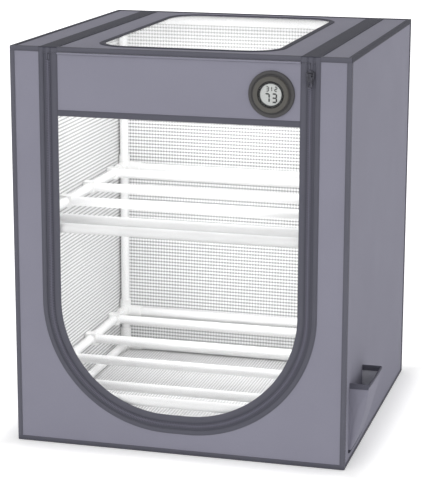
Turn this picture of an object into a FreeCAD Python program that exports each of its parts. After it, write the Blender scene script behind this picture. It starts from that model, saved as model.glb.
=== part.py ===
"""Cloth drying cabinet on a tube frame: a bound cloth case with a reflective lining, a clear roof window,
a zipped front flap with a humidity gauge, a side pocket, and two shelves of rails inside.

Millimetres, +Z up. The origin is the middle of the base, on the surface that the case stands on.
The front faces -Y. The flap turns on a line just under the top front edge.
"""
import FreeCAD, Part
import math
import os

Vector = FreeCAD.Vector

# Case
WIDTH = 450.0
DEPTH = 450.0
HEIGHT = 536.0
EDGE_R = 2.0

# Sheets
CLOTH_T = 1.4
LINING_T = 0.6
FILM_T = 0.8
TAPE_T = 1.0
BINDING_W = 6.5
BINDING_TOP_LAP = 3.0
SEAM_GAP = 0.2

# Clearances between pieces that move past each other, and round the frame
SWING_GAP = 0.3
PIN_GAP = 0.08
FRAME_GAP = 0.3
BORE_GAP = 0.15

# Roof window and bands
ROOF_WINDOW_SIDE = 108.0
ROOF_WINDOW_END = 35.0
ROOF_WINDOW_R = 40.0
ROOF_BINDING_W = 8.0
ROOF_SEAT = 4.0

# Zip that runs down one side of the flap, round the bottom and up the other side
ZIP_INSET = 52.25
ZIP_BOTTOM = 41.25
ZIP_FLAT = 13.5
ZIP_BAND_W = 25.5
ZIP_TAPE_T = 0.8
ZIP_TAPE_EDGE = 1.3
ZIP_CLOTH_EDGE = 9.0
CASE_FACING_W = 6.35
FLAP_FACING_W = 8.0
TOOTH_PITCH = 7.0
TOOTH_LENGTH = 2.8
TOOTH_REACH = 1.0
TOOTH_ROOT = 2.9
TOOTH_T = 1.6
TEETH_TOP_DROP = 8.0

# Flap
BEAD_R = 1.4
BEAD_SINK = 0.3
HEM_DROP = 81.5
HEM_W = 8.0

# Humidity gauge in a rubber grommet
GAUGE_INSET = 49.55
GAUGE_DROP = 49.0
GROMMET_R = 29.75
GROMMET_NECK_R = 24.0
GROMMET_REAR_R = 27.0
GROMMET_FRONT_T = 3.0
GROMMET_REAR_T = 2.0
GROMMET_EDGE_R = 1.4
BEZEL_R = 23.1
BEZEL_T = 3.5
BEZEL_CHAMFER = 1.0
BARREL_R = 20.4
BARREL_LENGTH = 13.0
BARREL_WALL = 1.5
LENS_R = 16.2
LENS_T = 1.0
LENS_RECESS = 0.2
DISPLAY_R = 14.35
DISPLAY_LEDGE_T = 1.0
DISPLAY_T = 1.2
BOARD_T = 1.2
CELL_R = 5.8
CELL_T = 5.4
CELL_GAP = 0.8
GAUGE_COVER_T = 1.6

# Zip slider and pull tab
SLIDER_DROP = 24.0
SLIDER_SHOULDER = 5.3
SLIDER_MOUTH = 4.0
SLIDER_UP = 4.5
SLIDER_DOWN = 6.5
SLIDER_CROWN = 2.0
SLIDER_PLATE_T = 1.4
SLIDER_FLANGE_T = 1.0
LUG_T = 1.2
LUG_R = 1.5
LUG_GAP = 3.8
PIN_R = 0.7
PIN_RISE = 2.0
EYE_R = 1.6
TAB_W = 6.0
TAB_T = 1.2
TAB_LENGTH = 17.0
TAB_SLOT_W = 2.4
TAB_SLOT_LENGTH = 6.0

# Side pocket
POCKET_FRONT_INSET = 30.0
POCKET_LENGTH = 86.0
POCKET_BOTTOM = 13.5
POCKET_HEIGHT = 95.0
POCKET_MOUTH = 26.0
POCKET_BULGE = 3.0
POCKET_T = 1.2
POCKET_SEAM = 1.6
POCKET_RIM_T = 0.8
POCKET_RIM_INNER_T = 0.6
POCKET_RIM_TOP = 0.8
POCKET_RIM_OUTER_W = 2.5

# Tube frame
TUBE_R = 6.5
CONNECTOR_R = 8.5
CONNECTOR_ARM = 26.0
LOWER_SHELF_Z = 66.0
UPPER_SHELF_Z = 296.0
RAIL_SPACING = 110.0
RAIL_END_GAP = 20.2
RAIL_BLOCK_LENGTH = 14.0

# Planes worked out from the sizes above
HALF_W = WIDTH / 2
HALF_D = DEPTH / 2
CLOTH_X = HALF_W - TAPE_T
CLOTH_Y = HALF_D - TAPE_T
CLOTH_TOP = HEIGHT - TAPE_T
WALL_X = CLOTH_X - CLOTH_T
WALL_Y = CLOTH_Y - CLOTH_T
WALL_TOP = CLOTH_TOP - CLOTH_T
WALL_BASE = TAPE_T + CLOTH_T
ROOM_X = WALL_X - LINING_T
ROOM_Y = WALL_Y - LINING_T
ROOM_TOP = WALL_TOP - LINING_T
ROOM_BASE = WALL_BASE + LINING_T

ZIP_X = HALF_W - ZIP_INSET
ZIP_R = ZIP_X - ZIP_FLAT
ZIP_TURN_Z = ZIP_BOTTOM + ZIP_R
BAND_HALF = ZIP_BAND_W / 2
BAND_IN = ZIP_X - BAND_HALF
BAND_OUT = ZIP_X + BAND_HALF
BAND_TOP = HEIGHT - EDGE_R

HINGE_Z = HEIGHT - BINDING_W - SWING_GAP - BEAD_R
HINGE_Y = -(CLOTH_Y + BEAD_R - BEAD_SINK)
MOUTH_TOP = HINGE_Z + BEAD_R + SWING_GAP
ZIP_END_Z = HINGE_Z + SWING_GAP
HEM_TOP = HEIGHT - HEM_DROP
FLAP_SEAM_Z = HEM_TOP - HEM_W / 2
FLAP_EDGE = -ZIP_CLOTH_EDGE
TEETH_TOP = HINGE_Z - TEETH_TOP_DROP

GAUGE_X = ZIP_X - GAUGE_INSET
GAUGE_Z = HEIGHT - GAUGE_DROP
GROMMET_BORE_R = BARREL_R + BORE_GAP
GROMMET_FACE = CLOTH_Y + GROMMET_FRONT_T
BEZEL_FACE = GROMMET_FACE + BEZEL_T
LENS_FACE = BEZEL_FACE - LENS_RECESS
LEDGE_FACE = LENS_FACE - LENS_T
DISPLAY_FACE = LEDGE_FACE - DISPLAY_LEDGE_T
BOARD_FACE = DISPLAY_FACE - DISPLAY_T
CELL_FACE = BOARD_FACE - BOARD_T
BARREL_END = GROMMET_FACE - BARREL_LENGTH
CAVITY_R = BARREL_R - BARREL_WALL

SLIDER_Z = HEIGHT - SLIDER_DROP
SLIDER_BACK = CLOTH_Y + TOOTH_T + SWING_GAP
SLIDER_FACE = SLIDER_BACK + SLIDER_PLATE_T
PIN_Y = -(SLIDER_FACE + SWING_GAP + EYE_R)
PIN_Z = SLIDER_Z + PIN_RISE

POST_X = ROOM_X - FRAME_GAP - CONNECTOR_R
POST_Y = ROOM_Y - FRAME_GAP - CONNECTOR_R
BASE_RING_Z = ROOM_BASE + CONNECTOR_R
TOP_RING_Z = ROOM_TOP - FRAME_GAP - CONNECTOR_R
OUTER_RAIL_Y = POST_Y - CONNECTOR_ARM - RAIL_END_GAP - RAIL_BLOCK_LENGTH / 2
INNER_RAIL_Y = OUTER_RAIL_Y - RAIL_SPACING
RAIL_Y = [-OUTER_RAIL_Y, -INNER_RAIL_Y, INNER_RAIL_Y, OUTER_RAIL_Y]

ALONG_X = Vector(1, 0, 0)
ALONG_Y = Vector(0, 1, 0)
ALONG_Z = Vector(0, 0, 1)


def slab(x, y, z):
    """A block between two planes along each axis."""
    low = Vector(x[0], y[0], z[0])
    return Part.makeBox(x[1] - x[0], y[1] - y[0], z[1] - z[0], low)


def rod(radius, start, end):
    """A round bar from one point to another."""
    run = end - start
    return Part.makeCylinder(radius, run.Length, start, run)


def prism(edges, along):
    """A solid swept from a closed flat outline."""
    outline = Part.Wire(Part.__sortEdges__(edges))
    return Part.Face(outline).extrude(along)


def fused(first, *others):
    """One solid made of several, without the seams."""
    return first.multiFuse(list(others)).removeSplitter()


def chain_of_lines(points):
    """The straight edges through a list of points."""
    return [Part.makeLine(a, b) for a, b in zip(points, points[1:])]


def turned(profile):
    """A ring about the gauge's axis, from corners given as radius and distance in front of the centre."""
    points = [Vector(GAUGE_X + radius, -out, GAUGE_Z) for radius, out in profile]
    outline = Part.makePolygon(points + points[:1])
    return Part.Face(outline).revolve(Vector(GAUGE_X, 0, GAUGE_Z), ALONG_Y, 360)


def u_plate(offset, top, y):
    """A plate with the flap's outline: straight sides and a round bottom, this far outside the zip's middle."""
    half = ZIP_X + offset
    radius = ZIP_R + offset
    bottom = ZIP_TURN_Z - radius
    diagonal = radius * math.sqrt(0.5)

    def corner(side):
        return Part.Arc(
            Vector(side * half, y[0], ZIP_TURN_Z),
            Vector(side * (ZIP_FLAT + diagonal), y[0], ZIP_TURN_Z - diagonal),
            Vector(side * ZIP_FLAT, y[0], bottom),
        ).toShape()

    top_left = Vector(-half, y[0], top)
    top_right = Vector(half, y[0], top)
    edges = [
        Part.makeLine(top_left, top_right),
        Part.makeLine(top_right, Vector(half, y[0], ZIP_TURN_Z)),
        corner(1),
        Part.makeLine(Vector(ZIP_FLAT, y[0], bottom), Vector(-ZIP_FLAT, y[0], bottom)),
        corner(-1),
        Part.makeLine(Vector(-half, y[0], ZIP_TURN_Z), top_left),
    ]
    return prism(edges, Vector(0, y[1] - y[0], 0))


def u_band(inner, outer, top, y):
    """A strip that follows the zip, between two distances from its middle."""
    return u_plate(outer, top, y).cut(u_plate(inner, top, y))


def rounded_plate(half_x, half_y, radius, z):
    """A flat plate with round corners, centred on the case."""
    plate = slab((-half_x, half_x), (-half_y, half_y), z)
    uprights = [edge for edge in plate.Edges if abs(edge.tangentAt(edge.FirstParameter).z) > 0.5]
    return plate.makeFillet(radius, uprights)


# Cloth panels and their lining

def side_panel(side):
    x = sorted((side * CLOTH_X, side * WALL_X))
    return slab(x, (-CLOTH_Y, CLOTH_Y), (TAPE_T, CLOTH_TOP))


def side_lining(side):
    x = sorted((side * WALL_X, side * ROOM_X))
    return slab(x, (-WALL_Y, WALL_Y), (WALL_BASE, WALL_TOP))


def rear_panel():
    return slab((-WALL_X, WALL_X), (WALL_Y, CLOTH_Y), (TAPE_T, CLOTH_TOP))


def rear_lining():
    return slab((-ROOM_X, ROOM_X), (ROOM_Y, WALL_Y), (WALL_BASE, WALL_TOP))


def front_panel():
    panel = slab((-WALL_X, WALL_X), (-CLOTH_Y, -WALL_Y), (TAPE_T, CLOTH_TOP))
    return panel.cut(u_plate(ZIP_CLOTH_EDGE, MOUTH_TOP, (-CLOTH_Y, -WALL_Y)))


def front_lining():
    lining = slab((-ROOM_X, ROOM_X), (-WALL_Y, -ROOM_Y), (WALL_BASE, WALL_TOP))
    return lining.cut(u_plate(ZIP_CLOTH_EDGE, MOUTH_TOP, (-WALL_Y, -ROOM_Y)))


def base_panel():
    """The base cloth on its stiff board, which comes down level with the binding round it."""
    cloth = slab((-WALL_X, WALL_X), (-WALL_Y, WALL_Y), (TAPE_T, WALL_BASE))
    half_x = HALF_W - BINDING_W - SEAM_GAP
    half_y = HALF_D - BINDING_W - SEAM_GAP
    return fused(cloth, slab((-half_x, half_x), (-half_y, half_y), (0, TAPE_T)))


def base_lining():
    return slab((-ROOM_X, ROOM_X), (-ROOM_Y, ROOM_Y), (WALL_BASE, ROOM_BASE))


def roof_hole(margin, z):
    """A plate with the roof window's outline, grown by a margin."""
    half_x = HALF_W - ROOF_WINDOW_SIDE + margin
    half_y = HALF_D - ROOF_WINDOW_END + margin
    return rounded_plate(half_x, half_y, ROOF_WINDOW_R + margin, z)


def top_panel():
    panel = slab((-WALL_X, WALL_X), (-WALL_Y, WALL_Y), (WALL_TOP, CLOTH_TOP))
    return panel.cut(roof_hole(ROOF_SEAT, (WALL_TOP, CLOTH_TOP)))


def top_lining():
    lining = slab((-ROOM_X, ROOM_X), (-ROOM_Y, ROOM_Y), (ROOM_TOP, WALL_TOP))
    return lining.cut(roof_hole(ROOF_SEAT, (ROOM_TOP, WALL_TOP)))


def top_window():
    return roof_hole(ROOF_SEAT - SEAM_GAP, (CLOTH_TOP - FILM_T, CLOTH_TOP))


def top_window_binding():
    z = (CLOTH_TOP, HEIGHT)
    return roof_hole(ROOF_BINDING_W, z).cut(roof_hole(0, z))


def top_band(side):
    x = sorted((side * BAND_IN, side * BAND_OUT))
    reach = HALF_D - BINDING_TOP_LAP
    return slab(x, (-reach, reach), (CLOTH_TOP, HEIGHT))


# Binding tape folded over the edges of the case

def edge_skin():
    """A thin shell over the whole case, with its edges rounded, from which the bindings are cut."""
    outside = slab((-HALF_W, HALF_W), (-HALF_D, HALF_D), (0, HEIGHT))
    rounded = outside.makeFillet(EDGE_R, outside.Edges)
    return rounded.cut(slab((-CLOTH_X, CLOTH_X), (-CLOTH_Y, CLOTH_Y), (TAPE_T, CLOTH_TOP)))


def strip(skin, x, y, z):
    return skin.common(slab(sorted(x), sorted(y), z))


def corner_binding(skin, side, end):
    x = (side * HALF_W, side * (HALF_W - BINDING_W))
    y = (end * HALF_D, end * (HALF_D - BINDING_W))
    return strip(skin, x, y, (BINDING_W, HEIGHT - BINDING_W))


def end_binding(skin, end, lap, z):
    return strip(skin, (-HALF_W, HALF_W), (end * HALF_D, end * (HALF_D - lap)), z)


def side_binding(skin, side, lap, z):
    reach = HALF_D - lap
    return strip(skin, (side * HALF_W, side * (HALF_W - lap)), (-reach, reach), z)


def zip_end(side, z):
    """The short length of zip band that runs over the top front binding."""
    return slab(sorted((side * BAND_IN, side * BAND_OUT)), (-HALF_D, -CLOTH_Y), z)


# Zip: facings, tapes and teeth

def case_zip_facing():
    band = u_band(BAND_HALF - CASE_FACING_W, BAND_HALF, BAND_TOP, (-HALF_D, -CLOTH_Y))
    ends = [zip_end(side, (ZIP_END_Z, BAND_TOP)) for side in (-1, 1)]
    return fused(band, *ends)


def flap_zip_facing():
    return u_band(-BAND_HALF, FLAP_FACING_W - BAND_HALF, HINGE_Z, (-HALF_D, -CLOTH_Y))


def case_zip_tape():
    y = (-CLOTH_Y, ZIP_TAPE_T - CLOTH_Y)
    return u_band(ZIP_TAPE_EDGE, ZIP_CLOTH_EDGE - SEAM_GAP, HINGE_Z, y)


def flap_zip_tape():
    y = (-CLOTH_Y, ZIP_TAPE_T - CLOTH_Y)
    return u_band(SEAM_GAP - ZIP_CLOTH_EDGE, -ZIP_TAPE_EDGE, HINGE_Z, y)


def tooth_place(distance):
    """Where the zip's middle is, this far along it from the left end, and which way is outward there."""
    side_run = TEETH_TOP - ZIP_TURN_Z
    turn_run = ZIP_R * math.pi / 2
    flat_run = 2 * ZIP_FLAT
    if distance < side_run:
        return Vector(-ZIP_X, 0, TEETH_TOP - distance), 180.0
    distance -= side_run
    if distance < turn_run:
        angle = 180.0 + math.degrees(distance / ZIP_R)
        return turn_point(-ZIP_FLAT, angle), angle
    distance -= turn_run
    if distance < flat_run:
        return Vector(distance - ZIP_FLAT, 0, ZIP_BOTTOM), 270.0
    distance -= flat_run
    if distance < turn_run:
        angle = 270.0 + math.degrees(distance / ZIP_R)
        return turn_point(ZIP_FLAT, angle), angle
    distance -= turn_run
    return Vector(ZIP_X, 0, ZIP_TURN_Z + distance), 360.0


def turn_point(centre_x, angle):
    turn = math.radians(angle)
    return Vector(centre_x + ZIP_R * math.cos(turn), 0, ZIP_TURN_Z + ZIP_R * math.sin(turn))


def zip_teeth(root_side):
    """One side's teeth: rooted outside the zip's middle at +1, or inside it at -1, half a pitch apart."""
    run = 2 * (TEETH_TOP - ZIP_TURN_Z) + ZIP_R * math.pi + 2 * ZIP_FLAT
    pairs = int(run / TOOTH_PITCH) - 1
    first = (run - (pairs - 0.5) * TOOTH_PITCH) / 2 + (root_side + 1) * TOOTH_PITCH / 4
    reach = sorted((-root_side * TOOTH_REACH, root_side * TOOTH_ROOT))
    half = TOOTH_LENGTH / 2
    teeth = []
    for index in range(pairs):
        point, outward = tooth_place(first + index * TOOTH_PITCH)
        tooth = slab(reach, (-CLOTH_Y - TOOTH_T, -CLOTH_Y), (-half, half))
        tooth.rotate(Vector(0, 0, 0), ALONG_Y, -outward)
        tooth.translate(point)
        teeth.append(tooth)
    return Part.makeCompound(teeth)


# Flap

def flap_panel():
    half = ZIP_X + FLAP_EDGE
    panel = slab((-half, half), (-CLOTH_Y, -WALL_Y), (FLAP_SEAM_Z, HINGE_Z))
    hole_r = GROMMET_NECK_R + SEAM_GAP
    return panel.cut(Part.makeCylinder(hole_r, CLOTH_T, Vector(GAUGE_X, -CLOTH_Y, GAUGE_Z), ALONG_Y))


def flap_window():
    return u_plate(FLAP_EDGE, FLAP_SEAM_Z, (-CLOTH_Y, FILM_T - CLOTH_Y))


def flap_hem():
    return slab((-BAND_IN, BAND_IN), (-HALF_D, -CLOTH_Y), (HEM_TOP - HEM_W, HEM_TOP))


def flap_hinge_bead():
    bead = rod(BEAD_R, Vector(-BAND_IN, HINGE_Y, HINGE_Z), Vector(BAND_IN, HINGE_Y, HINGE_Z))
    behind = slab((-BAND_IN, BAND_IN), (-CLOTH_Y, BEAD_R - CLOTH_Y), (HINGE_Z - BEAD_R, HINGE_Z + BEAD_R))
    return bead.cut(behind)


# Humidity gauge

def gauge_grommet():
    ring = turned([
        (GROMMET_BORE_R, GROMMET_FACE),
        (GROMMET_R, GROMMET_FACE),
        (GROMMET_R, CLOTH_Y),
        (GROMMET_NECK_R, CLOTH_Y),
        (GROMMET_NECK_R, WALL_Y),
        (GROMMET_REAR_R, WALL_Y),
        (GROMMET_REAR_R, WALL_Y - GROMMET_REAR_T),
        (GROMMET_BORE_R, WALL_Y - GROMMET_REAR_T),
    ])
    rim = [edge for edge in ring.Edges if is_circle(edge, GROMMET_R, -GROMMET_FACE)]
    return ring.makeFillet(GROMMET_EDGE_R, rim)


def is_circle(edge, radius, y):
    curve = edge.Curve
    return isinstance(curve, Part.Circle) and abs(curve.Radius - radius) < 0.01 and abs(curve.Center.y - y) < 0.01


def gauge_housing():
    return turned([
        (BEZEL_R, GROMMET_FACE),
        (BEZEL_R, BEZEL_FACE - BEZEL_CHAMFER),
        (BEZEL_R - BEZEL_CHAMFER, BEZEL_FACE),
        (LENS_R + BORE_GAP, BEZEL_FACE),
        (LENS_R + BORE_GAP, LEDGE_FACE),
        (DISPLAY_R, LEDGE_FACE),
        (DISPLAY_R, DISPLAY_FACE),
        (CAVITY_R, DISPLAY_FACE),
        (CAVITY_R, BARREL_END),
        (BARREL_R, BARREL_END),
        (BARREL_R, GROMMET_FACE),
    ])


def gauge_disc(radius, face, thickness, x=0.0):
    """A disc across the gauge, with its front face at a distance in front of the centre."""
    return Part.makeCylinder(radius, thickness, Vector(GAUGE_X + x, -face, GAUGE_Z), ALONG_Y)


def gauge_cells():
    spread = CELL_R + CELL_GAP / 2
    return Part.makeCompound([gauge_disc(CELL_R, CELL_FACE, CELL_T, side * spread) for side in (-1, 1)])


# Zip slider and pull tab

def zip_slider():
    """The slider's front plate with its two flanges, and the lugs and pin that hold the pull tab."""
    corners = [
        Vector(ZIP_X - SLIDER_SHOULDER, -SLIDER_FACE, SLIDER_Z + SLIDER_UP),
        Vector(ZIP_X - SLIDER_SHOULDER, -SLIDER_FACE, SLIDER_Z),
        Vector(ZIP_X - SLIDER_MOUTH, -SLIDER_FACE, SLIDER_Z - SLIDER_DOWN),
        Vector(ZIP_X + SLIDER_MOUTH, -SLIDER_FACE, SLIDER_Z - SLIDER_DOWN),
        Vector(ZIP_X + SLIDER_SHOULDER, -SLIDER_FACE, SLIDER_Z),
        Vector(ZIP_X + SLIDER_SHOULDER, -SLIDER_FACE, SLIDER_Z + SLIDER_UP),
    ]
    crown = Vector(ZIP_X, -SLIDER_FACE, SLIDER_Z + SLIDER_UP + SLIDER_CROWN)
    edges = chain_of_lines(corners) + [Part.Arc(corners[-1], crown, corners[0]).toShape()]
    plate = prism(edges, Vector(0, SLIDER_PLATE_T, 0))
    flanges = [slider_flange(side) for side in (-1, 1)]
    lugs = [slider_lug(side) for side in (-1, 1)]
    reach = LUG_GAP / 2 + LUG_T
    pin = rod(PIN_R, Vector(ZIP_X - reach, PIN_Y, PIN_Z), Vector(ZIP_X + reach, PIN_Y, PIN_Z))
    return fused(plate, pin, *flanges, *lugs)


def slider_flange(side):
    near = TOOTH_ROOT + SWING_GAP
    x = sorted((ZIP_X + side * near, ZIP_X + side * (near + SLIDER_FLANGE_T)))
    foot = SLIDER_Z - SLIDER_DOWN + SLIDER_FLANGE_T
    return slab(x, (-SLIDER_BACK, -CLOTH_Y - SWING_GAP), (foot, SLIDER_Z + SLIDER_UP))


def slider_lug(side):
    near = LUG_GAP / 2
    x = sorted((ZIP_X + side * near, ZIP_X + side * (near + LUG_T)))
    foot = slab(x, (PIN_Y, -SLIDER_FACE), (PIN_Z - LUG_R, PIN_Z + LUG_R))
    head = rod(LUG_R, Vector(x[0], PIN_Y, PIN_Z), Vector(x[1], PIN_Y, PIN_Z))
    return foot.fuse(head)


def zip_pull_tab():
    """A flat tab with a round eye on the slider's pin and a slot near its end."""
    half = TAB_W / 2
    neck = (LUG_GAP - 2 * SWING_GAP) / 2
    end_z = PIN_Z - TAB_LENGTH
    shoulder_z = PIN_Z - EYE_R - LUG_R
    y = (PIN_Y - TAB_T / 2, PIN_Y + TAB_T / 2)
    stem = slab((ZIP_X - neck, ZIP_X + neck), y, (shoulder_z, PIN_Z))
    plate = slab((ZIP_X - half, ZIP_X + half), y, (end_z + half, shoulder_z))
    tip = rod(half, Vector(ZIP_X, y[0], end_z + half), Vector(ZIP_X, y[1], end_z + half))
    eye = rod(EYE_R, Vector(ZIP_X - neck, PIN_Y, PIN_Z), Vector(ZIP_X + neck, PIN_Y, PIN_Z))
    bore = rod(PIN_R + PIN_GAP, Vector(ZIP_X - half, PIN_Y, PIN_Z), Vector(ZIP_X + half, PIN_Y, PIN_Z))
    slot_x = (ZIP_X - TAB_SLOT_W / 2, ZIP_X + TAB_SLOT_W / 2)
    slot = slab(slot_x, y, (end_z + half - TAB_SLOT_W / 2, end_z + half - TAB_SLOT_W / 2 + TAB_SLOT_LENGTH))
    return fused(plate, stem, tip, eye).cut(bore).cut(slot)


# Side pocket

def pocket_wedge(inset, y):
    """The space under the pocket's cloth, taken in by an inset: wide at the mouth and drawn in at the bottom."""
    top = POCKET_BOTTOM + POCKET_HEIGHT
    seam = Vector(CLOTH_X, y[0], POCKET_BOTTOM)
    foot = Vector(CLOTH_X + POCKET_SEAM - inset, y[0], POCKET_BOTTOM)
    lip = Vector(CLOTH_X + POCKET_MOUTH - inset, y[0], top)
    middle = Vector((foot.x + lip.x) / 2 + POCKET_BULGE, y[0], (foot.z + lip.z) / 2)
    wall = Vector(CLOTH_X, y[0], top)
    edges = chain_of_lines([lip, wall, seam, foot]) + [Part.Arc(foot, middle, lip).toShape()]
    return prism(edges, Vector(0, y[1] - y[0], 0))


def pocket_ends():
    front = POCKET_FRONT_INSET - HALF_D
    return front, front + POCKET_LENGTH


def pocket_pouch():
    return pocket_wedge(0, pocket_ends()).cut(pocket_room())


def pocket_rim():
    """Binding folded over the pocket's mouth: deep on the two ends and narrow along the outer edge."""
    front, rear = pocket_ends()
    top = POCKET_BOTTOM + POCKET_HEIGHT
    cap_top = top + POCKET_RIM_TOP
    lip = CLOTH_X + POCKET_MOUTH
    reach_x = (CLOTH_X, lip + POCKET_RIM_T)
    inner = POCKET_T + POCKET_RIM_INNER_T
    ends = [
        slab(reach_x, (front - POCKET_RIM_T, front + inner), (top - BINDING_W, cap_top)),
        slab(reach_x, (rear - inner, rear + POCKET_RIM_T), (top - BINDING_W, cap_top)),
    ]
    outer = slab((lip - inner, lip + POCKET_RIM_T), (front, rear), (top - POCKET_RIM_OUTER_W, cap_top))
    return fused(outer, *ends).cut(pocket_pouch())


def pocket_room():
    front, rear = pocket_ends()
    return pocket_wedge(POCKET_T, (front + POCKET_T, rear - POCKET_T))


# Tube frame

def corners():
    return [(x, y) for x in (-1, 1) for y in (-1, 1)]


def frame_tube_ring(z):
    """The four tubes that join one level's connectors."""
    reach_x = POST_X - CONNECTOR_ARM
    reach_y = POST_Y - CONNECTOR_ARM
    cross = [rod(TUBE_R, Vector(-reach_x, y, z), Vector(reach_x, y, z)) for y in (-POST_Y, POST_Y)]
    along = [rod(TUBE_R, Vector(x, -reach_y, z), Vector(x, reach_y, z)) for x in (-POST_X, POST_X)]
    return Part.makeCompound(cross + along)


def frame_posts():
    """Three upright tubes at each corner, from one connector to the next."""
    levels = [BASE_RING_Z, LOWER_SHELF_Z, UPPER_SHELF_Z, TOP_RING_Z]
    posts = []
    for x, y in corners():
        for low, high in zip(levels, levels[1:]):
            start = Vector(x * POST_X, y * POST_Y, low + post_arm(low))
            end = Vector(x * POST_X, y * POST_Y, high - post_arm(high))
            posts.append(rod(TUBE_R, start, end))
    return Part.makeCompound(posts)


def post_arm(level):
    """How far a connector reaches along the posts: less at the shelves than at the two ends."""
    if level in (BASE_RING_Z, TOP_RING_Z):
        return CONNECTOR_ARM
    return CONNECTOR_ARM - CONNECTOR_R


def corner_connector(x, y, z, upright):
    """A connector with two level arms and the uprights that it is given, as a low and a high end."""
    centre = Vector(x * POST_X, y * POST_Y, z)
    arm_x = rod(CONNECTOR_R, centre, centre - ALONG_X * (x * CONNECTOR_ARM))
    arm_y = rod(CONNECTOR_R, centre, centre - ALONG_Y * (y * CONNECTOR_ARM))
    stem = rod(CONNECTOR_R, centre + ALONG_Z * upright[0], centre + ALONG_Z * upright[1])
    return fused(stem, arm_x, arm_y)


def connectors(z, upright):
    return [corner_connector(x, y, z, upright) for x, y in corners()]


def rails(z):
    reach = POST_X - CONNECTOR_R
    return Part.makeCompound([rod(TUBE_R, Vector(-reach, y, z), Vector(reach, y, z)) for y in RAIL_Y])


def rail_block(side, y, z):
    """A block that slips on a shelf's side tube and takes the end of a rail."""
    half = RAIL_BLOCK_LENGTH / 2
    x = (side * POST_X - CONNECTOR_R, side * POST_X + CONNECTOR_R)
    block = slab(x, (y - half, y + half), (z - CONNECTOR_R, z + CONNECTOR_R))
    bore = rod(TUBE_R + BORE_GAP, Vector(side * POST_X, y - half, z), Vector(side * POST_X, y + half, z))
    return block.cut(bore)


def rail_blocks():
    levels = (LOWER_SHELF_Z, UPPER_SHELF_Z)
    return Part.makeCompound([rail_block(side, y, z) for z in levels for y in RAIL_Y for side in (-1, 1)])


def build():
    skin = edge_skin()
    top_z = (HEIGHT - BINDING_W, HEIGHT)
    base_z = (0, BINDING_W)
    shelf_stem = (CONNECTOR_R - CONNECTOR_ARM, CONNECTOR_ARM - CONNECTOR_R)
    pieces = {
        "front_panel": front_panel(),
        "rear_panel": rear_panel(),
        "left_panel": side_panel(-1),
        "right_panel": side_panel(1),
        "top_panel": top_panel(),
        "base_panel": base_panel(),
        "front_lining": front_lining(),
        "rear_lining": rear_lining(),
        "left_lining": side_lining(-1),
        "right_lining": side_lining(1),
        "top_lining": top_lining(),
        "base_lining": base_lining(),
        "top_window": top_window(),
        "top_window_binding": top_window_binding(),
        "top_band_left": top_band(-1),
        "top_band_right": top_band(1),
        "case_zip_facing": case_zip_facing(),
        "case_zip_tape": case_zip_tape(),
        "case_zip_teeth": zip_teeth(1),
        "flap_panel": flap_panel(),
        "flap_window": flap_window(),
        "flap_hem": flap_hem(),
        "flap_hinge_bead": flap_hinge_bead(),
        "flap_zip_facing": flap_zip_facing(),
        "flap_zip_tape": flap_zip_tape(),
        "flap_zip_teeth": zip_teeth(-1),
        "gauge_grommet": gauge_grommet(),
        "gauge_housing": gauge_housing(),
        "gauge_lens": gauge_disc(LENS_R, LENS_FACE, LENS_T),
        "gauge_display": gauge_disc(CAVITY_R - BORE_GAP, DISPLAY_FACE, DISPLAY_T),
        "gauge_board": gauge_disc(CAVITY_R - BORE_GAP, BOARD_FACE, BOARD_T),
        "gauge_cells": gauge_cells(),
        "gauge_back_cover": gauge_disc(CAVITY_R - BORE_GAP, BARREL_END + GAUGE_COVER_T, GAUGE_COVER_T),
        "zip_slider": zip_slider(),
        "zip_pull_tab": zip_pull_tab(),
        "pocket_pouch": pocket_pouch(),
        "pocket_rim": pocket_rim(),
        "frame_posts": frame_posts(),
        "top_tubes": frame_tube_ring(TOP_RING_Z),
        "base_tubes": frame_tube_ring(BASE_RING_Z),
        "upper_shelf_tubes": frame_tube_ring(UPPER_SHELF_Z),
        "lower_shelf_tubes": frame_tube_ring(LOWER_SHELF_Z),
        "upper_rails": rails(UPPER_SHELF_Z),
        "lower_rails": rails(LOWER_SHELF_Z),
        "rail_blocks": rail_blocks(),
        "top_connectors": Part.makeCompound(connectors(TOP_RING_Z, (-CONNECTOR_ARM, CONNECTOR_R))),
        "base_connectors": Part.makeCompound(connectors(BASE_RING_Z, (-CONNECTOR_R, CONNECTOR_ARM))),
        "shelf_connectors": Part.makeCompound(
            connectors(LOWER_SHELF_Z, shelf_stem) + connectors(UPPER_SHELF_Z, shelf_stem)
        ),
    }
    for end, end_name in ((-1, "front"), (1, "rear")):
        pieces["top_binding_" + end_name] = end_binding(skin, end, BINDING_TOP_LAP, top_z)
        pieces["base_binding_" + end_name] = end_binding(skin, end, BINDING_W, base_z)
        for side, side_name in ((-1, "left"), (1, "right")):
            pieces["corner_binding_" + end_name + "_" + side_name] = corner_binding(skin, side, end)
    for side, side_name in ((-1, "left"), (1, "right")):
        pieces["top_binding_" + side_name] = side_binding(skin, side, BINDING_TOP_LAP, top_z)
        pieces["base_binding_" + side_name] = side_binding(skin, side, BINDING_W, base_z)
        pieces["top_binding_front"] = pieces["top_binding_front"].cut(zip_end(side, (top_z[0], BAND_TOP)))
    return pieces


os.makedirs("parts", exist_ok=True)
for node, shape in build().items():
    shape.exportStep("parts/" + node + ".step")
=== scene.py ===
"""Looks for the cloth dry box: bound cloth, clear film, zip, gauge, pocket, lining and painted frame.

Metres, +Z up, the front faces -Y. The case stands on the floor, centred on the origin.
"""

import math

import bmesh
import bpy
from mathutils import Matrix, Vector, noise


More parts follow.
